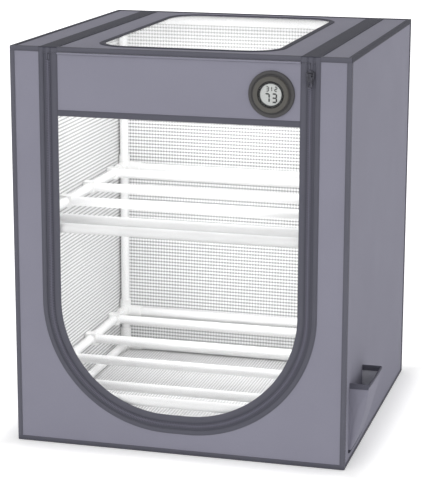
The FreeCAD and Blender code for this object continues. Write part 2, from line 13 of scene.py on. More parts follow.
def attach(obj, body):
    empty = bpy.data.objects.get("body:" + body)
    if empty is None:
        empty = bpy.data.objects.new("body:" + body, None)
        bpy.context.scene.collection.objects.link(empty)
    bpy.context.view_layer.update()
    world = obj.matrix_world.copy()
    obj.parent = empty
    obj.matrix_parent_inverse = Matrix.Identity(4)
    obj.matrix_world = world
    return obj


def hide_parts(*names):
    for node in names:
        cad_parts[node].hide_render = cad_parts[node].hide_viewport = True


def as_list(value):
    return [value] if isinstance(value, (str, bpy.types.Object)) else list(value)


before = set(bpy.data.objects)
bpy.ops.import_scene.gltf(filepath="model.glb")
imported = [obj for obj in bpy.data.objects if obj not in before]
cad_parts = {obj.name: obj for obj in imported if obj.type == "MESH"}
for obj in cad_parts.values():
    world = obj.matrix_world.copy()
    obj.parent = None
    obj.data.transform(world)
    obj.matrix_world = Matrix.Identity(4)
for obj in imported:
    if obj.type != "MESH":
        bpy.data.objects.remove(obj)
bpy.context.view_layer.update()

MM = 0.001
TURN = 2 * math.pi

# Planes of the case, as half widths or heights
EDGE = 225 * MM
CLOTH = 224 * MM
WALL = 222.6 * MM
ROOM = 222 * MM
TOP = 536 * MM
CLOTH_TOP = 535 * MM
CLOTH_BASE = 1 * MM
BOTH = (("left", -1), ("right", 1))

# Sheets: their thicknesses, how far in from the seams stretched cloth swells, and the puckers along them
CLOTH_T = 1.4 * MM
LINING_GAP = 0.06 * MM
LINING_T = 0.48 * MM
FILM_T = 0.5 * MM
SWELL_REACH = 85 * MM
PUCKER_PITCH = 12.5 * MM
PUCKER_REACH = 11 * MM

# Bindings and tapes: their widths, and how far their backs and faces stand in front of the cloth
BINDING_W = 6.5 * MM
BINDING_T = 0.95 * MM
BASE_SIDE_W = 4 * MM
TOP_LAP = 6 * MM
TAPE_OUT = (0.02 * MM, 1.0 * MM)
WOVEN_OUT = (-0.75 * MM, -0.05 * MM)
ROOF_TAPE_OUT = (0.03 * MM, 1.0 * MM)
BAND_OUT = (0.03 * MM, 0.95 * MM)
TAPE_RIPPLE = 0.06 * MM
TAPE_RIPPLE_RUN = 5.3 * MM

# The zip's middle line: down the right side, round the bottom and up the left
ZIP_X = 172.75 * MM
ZIP_FLAT = 13.5 * MM
ZIP_BOTTOM = 41.25 * MM
ZIP_R = ZIP_X - ZIP_FLAT
ZIP_TURN_Z = ZIP_BOTTOM + ZIP_R
BAND_HALF = 12.75 * MM
CASE_FACING = (6.4 * MM, BAND_HALF)
FLAP_FACING = (-BAND_HALF, -4.75 * MM)
CASE_TAPE = (0.03 * MM, 6.5 * MM)
FLAP_TAPE = (-8.8 * MM, -0.03 * MM)
CASE_CLOTH_CUT = 6.6 * MM
CASE_LINING_CUT = 5.4 * MM
FILM_CUT = -9 * MM
COIL_TOP = 519.8 * MM
COIL_PITCH = 2.2 * MM
COIL_TURN = (0.94 * MM, 3.7 * MM, 1.35 * MM)
COIL_ASIDE = 1.0 * MM
COIL_LIFT = 0.72 * MM
CHAIN_HALF = 2.6 * MM
CHAIN_OUT = 1.1 * MM
HINGE_Z = 527.8 * MM
HINGE_Y = -225.1 * MM
MOUTH_TOP = 529.5 * MM
ZIP_END_Z = 528.1 * MM
BAND_TOP = 535 * MM

# Flap
FLAP_HALF = 163.75 * MM
FLAP_SEAM_Z = 450.5 * MM
FILM_BASE = ZIP_BOTTOM - FILM_CUT
HEM = (446.5 * MM, 454.5 * MM)
HEM_HALF = 160 * MM
ROLL_R = 1.38 * MM
ROLL_STEPS = 120

# Roof window: its opening, and how far outside it the cloth is cut, the film reaches and the binding ends
ROOF_HALF = (117 * MM, 190 * MM)
ROOF_R = 40 * MM
ROOF_CUT = 4 * MM
ROOF_FILM_LAP = 3.6 * MM
ROOF_BINDING_W = 8 * MM

# Gauge: its middle, its hole in the cloth, and where its figures lie in front of the cloth
GAUGE_X = 123.2 * MM
GAUGE_Z = 487 * MM
GAUGE_HOLE_R = 24.2 * MM
FIGURE_OUT = 4.37 * MM
FIGURE_T = 0.1 * MM

# Pocket: its place on the wall, how far it stands out at its foot and mouth, and the cloth that it takes.
# Each gusset and each corner takes a share of the way round it, and each side of the rim a share of its tape.
POCKET_Y = (-195 * MM, -109 * MM)
POCKET_Z = (13.5 * MM, 108.5 * MM)
POCKET_TALL = POCKET_Z[1] - POCKET_Z[0]
POCKET_FOOT = 1.6 * MM
POCKET_MOUTH = 26 * MM
POCKET_BULGE = 3 * MM
POCKET_T = 1.2 * MM
POCKET_CUT = (138 * MM, 97 * MM)
GUSSET = 0.22
CORNER = 0.12
RIM_SIDE = 0.4
RIM_OUT = 0.75 * MM

# Stitches: their pitch and size, how far in from a tape's edge they run, and where they lie on zip and bands
STITCH_PITCH = 4.2 * MM
STITCH = (2.7 * MM, 0.45 * MM, 0.36 * MM)
BINDING_STITCH = 1.1 * MM
ZIP_STITCH = 1.3 * MM
ROOF_STITCH = 1.6 * MM
ZIP_STITCH_OUT = 0.98 * MM
BAND_STITCH_Z = TOP - 0.08 * MM

# Camera, from the edges of the case in the photograph
CAMERA_AZIMUTH = math.radians(15.27)
CAMERA_ELEVATION = math.radians(13.29)
CAMERA_ROLL = math.radians(0.14)
CAMERA_DISTANCE = 2562.75 * MM
CAMERA_SHIFT = (-14.76 * MM, -26.235 * MM)
CAMERA_AIM_Z = 268.155 * MM
CAMERA_LENS = 136.49


def ease(low, high, value):
    """0 below low, 1 above high, and a smooth step between them."""
    t = min(1.0, max(0.0, (value - low) / (high - low)))
    return t * t * (3 - 2 * t)


def drift(x, y, z):
    """Smooth noise between -1 and 1."""
    return noise.noise(Vector((x, y, z)))


def screen(red, green, blue):
    """A colour as it looks on screen, 0 to 255, in the linear values that a shader takes."""
    def linear(c):
        c /= 255
        return c / 12.92 if c <= 0.04045 else ((c + 0.055) / 1.055) ** 2.4

    return (linear(red), linear(green), linear(blue), 1.0)


def shaded(colour, share):
    return tuple(min(1.0, c * share) for c in colour[:3]) + (1.0,)


# Materials

class Wire:
    """A shader value that takes arithmetic: each sum adds the nodes that work it out."""

    def __init__(self, look, socket):
        self.look = look
        self.socket = socket

    def math(self, operation, first, second=0.0):
        return self.look.add("Math", {"operation": operation}, {0: first, 1: second})

    def __add__(self, other):
        return self.math("ADD", self, other)

    def __sub__(self, other):
        return self.math("SUBTRACT", self, other)

    def __rsub__(self, other):
        return self.math("SUBTRACT", other, self)

    def __mul__(self, other):
        return self.math("MULTIPLY", self, other)

    __radd__ = __add__
    __rmul__ = __mul__

    def sine(self):
        return self.math("SINE", self)

    def size(self):
        return self.math("ABSOLUTE", self)

    def highest(self, other):
        return self.math("MAXIMUM", self, other)

    def step(self, low, high):
        """0 below low, 1 above high."""
        return self.look.add(
            "MapRange", {"interpolation_type": "SMOOTHSTEP"},
            {"Value": self, "From Min": low, "From Max": high},
        )


class Look:
    """A node tree for a surface or the world, and one way to add nodes to it."""

    def __init__(self, owner):
        owner.use_nodes = True
        self.owner = owner
        self.tree = owner.node_tree
        self.tree.nodes.clear()

    def add(self, kind, settings=None, inputs=None, out=0):
        node = self.tree.nodes.new("ShaderNode" + kind)
        for name, value in (settings or {}).items():
            setattr(node, name, value)
        for key, value in (inputs or {}).items():
            if isinstance(value, Wire):
                self.tree.links.new(value.socket, node.inputs[key])
            else:
                node.inputs[key].default_value = value
        return Wire(self, node.outputs[out]) if len(node.outputs) else None

    def mix(self, share, first, second):
        return self.add("Mix", {"data_type": "RGBA"}, {0: share, 6: first, 7: second}, out=2)

    def axes(self, vector):
        return [self.add("SeparateXYZ", None, {0: vector}, out=axis) for axis in range(3)]

    def place(self):
        return self.add("TexCoord", out=3)

    def along(self):
        """The piece's own flat coordinates, in metres: across and along its cloth."""
        return self.axes(self.add("UVMap", {"uv_map": "cut"}))[:2]

    def cloud(self, size, detail=2.0):
        """Soft noise between 0 and 1, with patches about this many metres wide."""
        return self.add("TexNoise", None, {"Vector": self.place(), "Scale": 1 / size, "Detail": detail})

    def bump(self, height, depth, strength=0.5):
        return self.add("Bump", None, {"Strength": strength, "Distance": depth, "Height": height})

    def surface(self, base, roughness, normal=None, **fixed):
        inputs = {"Base Color": base, "Roughness": roughness}
        if normal is not None:
            inputs["Normal"] = normal
        inputs.update({name.replace("_", " "): value for name, value in fixed.items()})
        return self.add("BsdfPrincipled", None, inputs)

    def finish(self, shader, kind="OutputMaterial"):
        self.add(kind, None, {"Surface": shader})
        return self.owner


def new_look(name):
    return Look(bpy.data.materials.new(name))


def waves(value, pitch):
    """A wave between 0 and 1 that repeats at a pitch in metres."""
    return (value * (TURN / pitch)).sine() * 0.5 + 0.5


def woven_cloth(name, colour, pitch=1.1 * MM, contrast=0.16, roughness=0.8):
    """Plain weave: threads that pass over and under each other, with a slow change of shade."""
    look = new_look(name)
    across, along = look.along()
    warp, weft = waves(across, pitch), waves(along, pitch)
    threads = warp * weft + (1 - warp) * (1 - weft)
    fuzz = look.cloud(1.5 * MM, 3.0)
    patches = look.cloud(90 * MM)
    shade = threads * contrast + (patches - 0.5) * 0.22 + (fuzz - 0.5) * 0.12 + (0.5 - contrast / 2)
    normal = look.bump(threads + fuzz * 0.6, 0.12 * MM)
    base = look.mix(shade, shaded(colour, 0.72), shaded(colour, 1.28))
    return look.finish(look.surface(
        base, fuzz * 0.14 + (roughness - 0.07), normal,
        Specular_IOR_Level=0.1, Sheen_Weight=0.03, Sheen_Roughness=0.5,
    ))


def ribbed_tape(name, colour, pitch=1.3 * MM, contrast=0.25, roughness=0.72, painted_shade=None):
    """Woven tape: fine ribs across it, a slow change of shade, and heights between which painted shade
    darkens it.
    """
    look = new_look(name)
    across, along = look.along()
    ribs = waves(along, pitch)
    threads = waves(across, pitch * 0.6)
    patches = look.cloud(35 * MM)
    fuzz = look.cloud(1.2 * MM, 3.0)
    shade = ribs * contrast + threads * 0.08 + (patches - 0.5) * 0.2 + (fuzz - 0.5) * 0.14
    shade = shade + (0.46 - contrast / 2)
    # Painted shade: the tape is darker between two heights, for shade on a lap or at the foot.
    if painted_shade:
        unshaded, dark, share = painted_shade
        shade = shade - look.axes(look.place())[2].step(unshaded, dark) * share
    normal = look.bump(ribs + threads * 0.4 + fuzz * 0.4, 0.15 * MM)
    base = look.mix(shade, shaded(colour, 0.7), shaded(colour, 1.3))
    return look.finish(look.surface(
        base, fuzz * 0.1 + (roughness - 0.05), normal, Specular_IOR_Level=0.1, Sheen_Weight=0.03
    ))


def grid_lining(name):
    """White laminated lining: a pale foil with a fine square scrim pressed into it."""
    look = new_look(name)
    across, along = look.along()
    rows = waves(along, 5.15 * MM).step(0.4, 0.8)
    columns = waves(across, 4.45 * MM).step(0.3, 0.75)
    lines = (rows * (columns * 0.5 + 0.5)).highest(columns * 0.28)
    patches = look.cloud(60 * MM)
    crinkle = look.cloud(4 * MM, 3.0)
    white = look.mix(patches, screen(247, 247, 247), screen(253, 253, 253))
    base = look.mix(lines * 0.9, white, screen(102, 102, 104))
    normal = look.bump(crinkle * 0.35 - rows.highest(columns), 0.25 * MM)
    return look.finish(look.surface(base, crinkle * 0.2 + 0.34, normal, Specular_IOR_Level=0.12))


def clear_film(name, tint, haze, roughness=0.05, gleam=0.8):
    """Clear film: lets light through, mirrors more at a slant, with faint haze and ripples."""
    look = new_look(name)
    ripples = look.cloud(55 * MM)
    smears = look.cloud(14 * MM, 3.0)
    normal = look.bump(ripples, 1.2 * MM, 0.35)
    gloss = look.surface((0.94, 0.95, 0.96, 1), smears * 0.05 + roughness, normal, Metallic=1.0)
    slant = look.add("LayerWeight", None, {"Blend": 0.5, "Normal": normal}, out=1)
    shine = slant.math("POWER", slant, 5.0) * 0.97 + 0.03
    share = shine * gleam + (smears - 0.5).highest(0.0) * haze + haze
    clear = look.add("BsdfTransparent", None, {"Color": tint})
    return look.finish(look.add("MixShader", None, {0: share, 1: clear, 2: gloss}))


def painted(name, colour, roughness=0.36):
    """Smooth coat of paint over metal: a slight orange peel and faint handling marks."""
    look = new_look(name)
    peel = look.cloud(1.6 * MM, 1.0)
    marks = look.cloud(45 * MM, 4.0)
    base = look.mix(marks, shaded(colour, 0.93), colour)
    return look.finish(look.surface(
        base, marks * 0.16 + (roughness - 0.08), look.bump(peel, 0.05 * MM, 0.4), Coat_Weight=0.2
    ))


def moulded(name, colour, roughness=0.5, grain=0.8 * MM, depth=0.04 * MM, variation=0.1):
    """Moulded plastic or rubber: fine spark grain, with a faint change of shade."""
    look = new_look(name)
    pits = look.cloud(grain, 3.0)
    patches = look.cloud(25 * MM)
    base = look.mix((patches + pits) * 0.5, shaded(colour, 1 - variation), shaded(colour, 1 + variation))
    return look.finish(look.surface(
        base, pits * 0.2 + (roughness - 0.1), look.bump(pits, depth), Specular_IOR_Level=0.3
    ))


def cast_metal(name, colour, roughness=0.34):
    """Plated metal: fine grain with rubbed brighter patches."""
    look = new_look(name)
    rubbed = look.cloud(4 * MM, 3.0)
    grain = look.cloud(0.5 * MM)
    base = look.mix(rubbed.step(0.45, 0.75), colour, shaded(colour, 2.0))
    rough = grain * 0.16 - rubbed.step(0.5, 0.8) * 0.08 + (roughness - 0.08)
    return look.finish(look.surface(base, rough, look.bump(grain, 0.03 * MM), Metallic=0.85))


def display_sheet(name):
    """Pale reflective display: a fine dot grid under a soft change of shade."""
    look = new_look(name)
    x, _, z = look.axes(look.place())
    dots = waves(x, 0.45 * MM) * waves(z, 0.45 * MM)
    patches = look.cloud(12 * MM)
    base = look.mix(dots * 0.2 + patches * 0.6, screen(198, 199, 197), screen(214, 215, 213))
    return look.finish(look.surface(base, patches * 0.1 + 0.4))


GREY_CLOTH = woven_cloth("grey_cloth", screen(142, 141, 155))
# The roof's cloth is the grey cloth painted darker: painted shade for the lesser light on the top.
SHADED_ROOF_CLOTH = woven_cloth("roof_cloth_painted_shade", screen(132, 131, 144))
BASE_CLOTH = woven_cloth("base_cloth", screen(120, 119, 131), pitch=1.4 * MM, contrast=0.2)
POCKET_CLOTH = woven_cloth("pocket_cloth", screen(145, 144, 158))
# The inside of the pocket is painted far paler than its cloth: painted light for the light that reaches in
# through its mouth.
POCKET_BACK_PAINTED_LIGHT = woven_cloth("pocket_back_painted_light", screen(208, 208, 216), contrast=0.08, roughness=0.55)
BINDING = ribbed_tape("binding_tape", screen(101, 101, 111))
# The lap of the front top binding that lies on the roof is darkened: painted shade.
TOP_BINDING = ribbed_tape(
    "top_binding_tape", screen(97, 97, 107), painted_shade=(TOP - 0.8 * MM, TOP - 0.1 * MM, 0.2)
)
# The base binding is darker towards the floor: painted contact shadow at the foot.
BASE_BINDING = ribbed_tape("base_binding_tape", screen(95, 95, 105), painted_shade=(6 * MM, 2 * MM, 0.33))
DARK_BINDING = ribbed_tape("dark_binding_tape", screen(62, 62, 72))
POCKET_RIM = ribbed_tape("pocket_rim_tape", screen(92, 92, 103))
ROOF_BAND = ribbed_tape("roof_band_webbing", screen(54, 54, 65), pitch=1.8 * MM)
FACING = ribbed_tape("zip_facing_tape", screen(95, 95, 105))
ZIP_TAPE = ribbed_tape("zip_tape_weave", screen(88, 88, 98), pitch=0.9 * MM)
COIL = moulded("zip_coil_nylon", screen(115, 114, 128), roughness=0.6, grain=0.5 * MM)
THREAD = moulded("sewing_thread", screen(90, 90, 100), roughness=0.7, grain=0.4 * MM, depth=0.05 * MM)
LINING = grid_lining("grid_lining_foil")
WINDOW_FILM = clear_film("front_film", (0.985, 0.985, 0.985, 1), 0.015)
ROOF_FILM = clear_film("roof_film", (0.985, 0.985, 0.985, 1), 0.01, gleam=0.4)
LENS = clear_film("lens_clear", (0.985, 0.99, 0.99, 1), 0.002, roughness=0.02, gleam=0.3)
TUBE_PAINT = painted("white_tube_paint", screen(252, 252, 252))
FITTING = moulded("white_fitting_plastic", screen(246, 246, 245), roughness=0.46, variation=0.03)
RUBBER = moulded("grommet_rubber", screen(77, 76, 77), roughness=0.62, depth=0.05 * MM)
GAUGE_SHELL = moulded("gauge_shell_plastic", screen(88, 86, 82), roughness=0.5)
GAUGE_BLACK = moulded("gauge_black_plastic", screen(14, 14, 15), roughness=0.6)
DISPLAY = display_sheet("display_face")
DIGIT_INK = moulded("display_segments", screen(16, 17, 18), roughness=0.6, variation=0.05)
BOARD = moulded("board_laminate", screen(40, 92, 62), roughness=0.45)
CELL = cast_metal("cell_steel", screen(176, 176, 178), roughness=0.28)
ZIP_METAL = cast_metal("zip_gunmetal", screen(66, 66, 72))


# Building pieces

def meshed(name, bm):
    mesh = bpy.data.meshes.new(name)
    bm.to_mesh(mesh)
    bm.free()
    return mesh


def shaped(name, bm):
    """The shape as an object in the scene."""
    piece = bpy.data.objects.new(name, meshed(name, bm))
    bpy.context.scene.collection.objects.link(piece)
    return piece


def dress(piece, material, body, nodes=(), crease=35):
    """Gives a piece its finish, the body that it moves with and the nodes that it stands for."""
    if material:
        piece.data.materials.append(material)
    piece.data.shade_smooth()
    piece.data.set_sharp_from_angle(angle=math.radians(crease))
    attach(piece, body)
    if nodes:
        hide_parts(*nodes)
    return piece


def set_cut(bm, flat):
    """Writes each corner's place on the flat cloth, in metres, so that the weave follows the piece."""
    layer = bm.loops.layers.uv.new("cut")
    for face in bm.faces:
        for loop in face.loops:
            loop[layer].uv = flat(loop.vert.co)


def settled(piece):
    """The piece with its modifiers worked into its mesh."""
    graph = bpy.context.evaluated_depsgraph_get()
    made = bpy.data.meshes.new_from_object(piece.evaluated_get(graph))
    piece.modifiers.clear()
    piece.data = made
    return piece


def carve(piece, tool, operation="DIFFERENCE"):
    """Cuts a piece with a closed tool, keeps the result and removes the tool."""
    change = piece.modifiers.new("carve", "BOOLEAN")
    change.object = tool
    change.operation = operation
    change.solver = "EXACT"
    settled(piece)
    bpy.data.objects.remove(tool)
    return piece


def spun(bm, geom, centre=(0, 0, 0), angle=0.0, step=(0, 0, 0), count=1, axis=(0, 1, 0)):
    """Sweeps a profile round an axis or straight along a step, and returns its last place."""
    swept = bmesh.ops.spin(bm, geom=geom, cent=centre, axis=axis, dvec=step, angle=angle, steps=count)
    return swept["geom_last"]


def closed_profile(bm, points):
    """A closed outline through a few points."""
    verts = [bm.verts.new(p) for p in points]
    edges = [bm.edges.new(pair) for pair in zip(verts, verts[1:] + verts[:1])]
    return verts + edges


def close_shell(bm):
    """Fills the open ends, merges what meets and turns all faces outward."""
    bmesh.ops.remove_doubles(bm, verts=bm.verts, dist=0.001 * MM)
    bmesh.ops.holes_fill(bm, edges=[edge for edge in bm.edges if edge.is_boundary], sides=0)
    bmesh.ops.recalc_face_normals(bm, faces=bm.faces)


def pushed_block(name, bm, step):
    """A closed block: the outline's face, pushed along a step."""
    face = bmesh.ops.contextual_create(bm, geom=bm.edges[:])["faces"]
    moved = bmesh.ops.extrude_face_region(bm, geom=face)["geom"]
    bmesh.ops.translate(bm, vec=step, verts=[item for item in moved if isinstance(item, bmesh.types.BMVert)])
    close_shell(bm)
    return shaped(name, bm)


def tape_section(low, high, back, crown):
    """Corners of a tape's section between two sides: a flat back, soft edges and a slightly raised middle."""
    soft = min(0.9 * MM, (high - low) / 6)
    edge = back + (crown - back) * 0.45
    shoulder = back + (crown - back) * 0.93
    third = (high - low) / 3
    return [
        (low, back), (low, edge), (low + soft, shoulder), (low + third, crown),
        (high - third, crown), (high - soft, shoulder), (high, edge), (high, back),
    ]


def straight_tape(name, points, step, count, flat, material, body, nodes):
    """A tape with one section along a straight line."""
    bm = bmesh.new()
    spun(bm, closed_profile(bm, points), step=[c / count for c in step], count=count)
    close_shell(bm)
    set_cut(bm, flat)
    return dress(shaped(name, bm), material, body, nodes)


# The zip's line

def run_zip(bm, geom, top, fineness=1.0):
    """Sweeps a profile that stands at the right-hand top of the zip along the whole of it."""
    drop = top - ZIP_TURN_Z
    side_steps = round(40 * fineness)
    arc_steps = round(36 * fineness)
    geom = spun(bm, geom, step=(0, 0, -drop / side_steps), count=side_steps)
    geom = spun(bm, geom, (ZIP_FLAT, 0, ZIP_TURN_Z), TURN / 4, count=arc_steps)
    geom = spun(bm, geom, step=(-ZIP_FLAT, 0, 0), count=2)
    geom = spun(bm, geom, (-ZIP_FLAT, 0, ZIP_TURN_Z), TURN / 4, count=arc_steps)
    return spun(bm, geom, step=(0, 0, drop / side_steps), count=side_steps)


def zip_coordinates(point):
    """How far a point lies outside the zip's middle, and how far along it from the right-hand top."""
    x, z = abs(point.x), point.z
    arc = ZIP_R * TURN / 4
    if z >= ZIP_TURN_Z:
        across = x - ZIP_X
        half = TOP - z
    elif x <= ZIP_FLAT:
        across = ZIP_BOTTOM - z
        half = TOP - ZIP_TURN_Z + arc + ZIP_FLAT - x
    else:
        out = Vector((x - ZIP_FLAT, ZIP_TURN_Z - z))
        across = out.length - ZIP_R
        half = TOP - ZIP_TURN_Z + ZIP_R * math.atan2(out.y, out.x)
    return across, half if point.x >= 0 else zip_length(TOP) - half


def zip_length(top):
    return 2 * (top - ZIP_TURN_Z + ZIP_R * TURN / 4 + ZIP_FLAT)


def facing(u, v, middle):
    """A place as a matrix: U and V along a surface, and W out of it."""
    u, v = Vector(u), Vector(v)
    return Matrix.Translation(middle) @ Matrix((u, v, u.cross(v))).transposed().to_4x4()


def set_place(point, along, out):
    """A place as a matrix: X along a line, Z out of the surface."""
    return facing(along, out.cross(along), point)


def zip_place(distance, offset, out, top):
    """A place this far along the zip from its right-hand top: X along it, Y away from the flap, Z forward."""
    whole = zip_length(top)
    wing = 1 if distance <= whole / 2 else -1
    gone = min(distance, whole - distance)
    side_run = top - ZIP_TURN_Z
    angle = min(max(0.0, (gone - side_run) / ZIP_R), TURN / 4)
    away = Vector((wing * math.cos(angle), 0, -math.sin(angle)))
    point = away * (ZIP_R + offset)
    point.x += wing * max(0.0, ZIP_FLAT - max(0.0, gone - side_run - ZIP_R * TURN / 4))
    point.z += ZIP_TURN_Z + max(0.0, side_run - gone)
    point.y = -CLOTH - out
    front = Vector((0, -1, 0))
    return set_place(point, away.cross(front), front)


def zip_tape(name, sides, top, depths, material, body, nodes, ripple=0.0):
    """A tape that follows the zip, between two distances in front of the cloth's face."""
    bm = bmesh.new()
    section = tape_section(*sides, *depths)
    run_zip(bm, closed_profile(bm, [(ZIP_X + across, -CLOTH - out, top) for across, out in section]), top)
    close_shell(bm)
    for vert in bm.verts:
        if vert.co.y < -CLOTH - sum(depths) / 2:
            vert.co.y += ripple * math.sin(zip_coordinates(vert.co)[1] / TAPE_RIPPLE_RUN)
    set_cut(bm, zip_coordinates)
    return dress(shaped(name, bm), material, body, nodes)


def u_block(offset, top):
    """A block with the flap's outline, to cut sheets with."""
    bm = bmesh.new()
    start = bm.verts.new((ZIP_X + offset, -CLOTH - 9 * MM, top))
    bm.edges.new((run_zip(bm, [start], top, 1.5)[0], start))
    return pushed_block("u_block", bm, (0, 20 * MM, 0))


def u_area(offset, top):
    radius = ZIP_R + offset
    return 2 * (ZIP_X + offset) * (top - ZIP_TURN_Z) + TURN * radius * radius / 4 + 2 * ZIP_FLAT * radius


# Outlines with round corners, level with the roof

def round_outline(bm, half_x, half_y, radius, z, straight=1, corner=10):
    """The edges of a closed outline with round corners."""
    before = set(bm.edges)
    start = bm.verts.new((half_x, radius - half_y, z))
    geom = [start]
    inner_x, inner_y = half_x - radius, half_y - radius
    for side_x, side_y, to_x, to_y in ((1, 1, 0, 1), (-1, 1, -1, 0), (-1, -1, 0, -1), (1, -1, 1, 0)):
        step = (2 * to_x * inner_x / straight, 2 * to_y * inner_y / straight, 0)
        geom = spun(bm, geom, step=step, count=straight, axis=(0, 0, 1))
        geom = spun(bm, geom, (side_x * inner_x, side_y * inner_y, z), TURN / 4, count=corner, axis=(0, 0, 1))
    bmesh.ops.weld_verts(bm, targetmap={geom[0]: start})
    return [edge for edge in bm.edges if edge not in before]


def round_block(grown):
    """A block with the roof window's outline, grown a little, to cut sheets with."""
    bm = bmesh.new()
    round_outline(bm, ROOF_HALF[0] + grown, ROOF_HALF[1] + grown, ROOF_R + grown, CLOTH_TOP - 9 * MM)
    return pushed_block("round_block", bm, (0, 0, 18 * MM))


def round_area(grown):
    radius = ROOF_R + grown
    return 4 * (ROOF_HALF[0] + grown) * (ROOF_HALF[1] + grown) - (8 - TURN) / 2 * radius * radius


def ringed(name, outlines, straight, corner, flat, material, nodes):
    """A closed ring through outlines given as two half widths, a corner radius and a height."""
    bm = bmesh.new()
    loops = [round_outline(bm, *outline, straight, corner) for outline in outlines]
    for first, second in zip(loops, loops[1:] + loops[:1]):
        bmesh.ops.bridge_loops(bm, edges=first + second)
    bmesh.ops.recalc_face_normals(bm, faces=bm.faces)
    set_cut(bm, flat)
    return dress(shaped(name, bm), material, "case", nodes)


def add_box(bm, middle, size):
    bmesh.ops.create_cube(bm, size=1.0, matrix=Matrix.Translation(middle) @ Matrix.Diagonal(size).to_4x4())


def block(low, high):
    bm = bmesh.new()
    low, high = Vector(low), Vector(high)
    add_box(bm, (low + high) / 2, high - low)
    return shaped("block", bm)


# Sheets: each lies on one side of the case, with U and V along its face and W outward

MID_Z = (CLOTH_BASE + CLOTH_TOP) / 2
FLAP_MID_Z = (FLAP_SEAM_Z + HINGE_Z) / 2
FILM_MID_Z = (FILM_BASE + FLAP_SEAM_Z) / 2
SIDES = {
    "front": facing((1, 0, 0), (0, 0, 1), (0, -CLOTH, MID_Z)),
    "rear": facing((-1, 0, 0), (0, 0, 1), (0, CLOTH, MID_Z)),
    "left": facing((0, -1, 0), (0, 0, 1), (-CLOTH, 0, MID_Z)),
    "right": facing((0, 1, 0), (0, 0, 1), (CLOTH, 0, MID_Z)),
    "top": facing((1, 0, 0), (0, 1, 0), (0, 0, CLOTH_TOP)),
    "base": facing((1, 0, 0), (0, -1, 0), (0, 0, CLOTH_BASE)),
    "flap": facing((1, 0, 0), (0, 0, 1), (0, -CLOTH, FLAP_MID_Z)),
    "film": facing((1, 0, 0), (0, 0, 1), (0, -CLOTH, FILM_MID_Z)),
}


def side_sizes(half_wide, half_deep, tall):
    """Flat sizes of the six sheets of a box."""
    front, wall, level = (2 * half_wide, tall), (2 * half_deep, tall), (2 * half_wide, 2 * half_wide)
    return {"front": front, "rear": front, "left": wall, "right": wall, "top": level, "base": level}


PANEL_SIZE = side_sizes(WALL, CLOTH, CLOTH_TOP - CLOTH_BASE)
LINING_SIZE = side_sizes(ROOM, WALL, 530.6 * MM)
FLAP_SIZE = (2 * FLAP_HALF, HINGE_Z - FLAP_SEAM_Z)
FILM_SIZE = (2 * FLAP_HALF, FLAP_SEAM_Z - FILM_BASE)


def slack(u, v, size, seed, swell=0.9 * MM, ripple=0.55 * MM, pucker=0.16 * MM):
    """How far stretched cloth stands off its plane: a slight swell, soft ripples and puckers at its seams."""
    to_u = size[0] / 2 - abs(u) - BINDING_W
    to_v = size[1] / 2 - abs(v) - BINDING_W
    inside = min(to_u, to_v)
    if inside <= 0:
        return 0.0
    height = ease(0, SWELL_REACH, inside) * (swell + ripple * drift(u * 8.5, v * 6.5, seed))
    run, to_end = (v, to_v) if to_u < to_v else (u, to_u)
    fold = math.sin(run * TURN / PUCKER_PITCH + 3.5 * drift(run * 30, seed, 0.5))
    near_seam = ease(0, 3 * MM, inside) * math.exp(-inside / PUCKER_REACH) * ease(0, 30 * MM, to_end)
    return height + pucker * near_seam * (fold + 0.6)


def wall_slack(side, seed):
    return lambda u, v: slack(u, v, PANEL_SIZE[side], seed)


def front_slack(u, v):
    away = zip_coordinates(Vector((u, 0, v + MID_Z)))[0]
    return slack(u, v, PANEL_SIZE["front"], 3.1) * ease(15 * MM, 45 * MM, away)


def top_slack(u, v):
    from_window = max(abs(u) - ROOF_HALF[0], abs(v) - ROOF_HALF[1]) - ROOF_BINDING_W
    from_band = abs(abs(u) - ZIP_X) - BAND_HALF
    still = ease(0, 20 * MM, from_window) * ease(0, 20 * MM, from_band)
    return slack(u, v, PANEL_SIZE["top"], 9.9) * still


def flap_slack(u, v):
    from_gauge = math.hypot(u - GAUGE_X, v + FLAP_MID_Z - GAUGE_Z) - 30 * MM
    still = ease(0, 18 * MM, from_gauge) * ease(8 * MM, 24 * MM, FLAP_HALF - abs(u))
    return slack(u, v, FLAP_SIZE, 21.3, 0.35 * MM, 0.3 * MM, 0.12 * MM) * still


def film_waves(u, v, seed, height):
    return height * (drift(u * 7, v * 5, seed) + 0.5 * drift(u * 17, v * 11, seed + 4))


def window_slack(u, v):
    away = -zip_coordinates(Vector((u, 0, v + FILM_MID_Z)))[0]
    free = ease(12 * MM, 60 * MM, away) * ease(4 * MM, 40 * MM, FILM_SIZE[1] / 2 - v)
    return free * film_waves(u, v, 5.4, 0.9 * MM)


def roof_slack(u, v):
    inside = min(ROOF_HALF[0] - abs(u), ROOF_HALF[1] - abs(v))
    return ease(0, 30 * MM, inside) * min(0.0, film_waves(u, v, 8.2, 0.5 * MM))


SLACKS = {
    "front": front_slack, "rear": wall_slack("rear", 4.8), "left": wall_slack("left", 6.5),
    "right": wall_slack("right", 8.2), "top": top_slack, "base": lambda u, v: 0.0,
}


def sheet(name, side, size, depth, thick, stand, cell=4.5 * MM):
    """A sheet on one side of the case, this deep behind the cloth's plane and standing off it as told."""
    bm = bmesh.new()
    bmesh.ops.create_grid(
        bm, x_segments=round(size[0] / cell), y_segments=round(size[1] / cell), size=0.5,
        matrix=Matrix.Diagonal((size[0], size[1], 1, 1)),
    )
    for vert in bm.verts:
        vert.co.z = stand(vert.co.x, vert.co.y) - depth
    set_cut(bm, lambda co: (co.x, co.y))
    bmesh.ops.solidify(bm, geom=bm.faces[:], thickness=thick)
    bmesh.ops.recalc_face_normals(bm, faces=bm.faces)
    bm.transform(SIDES[side])
    return shaped(name, bm)


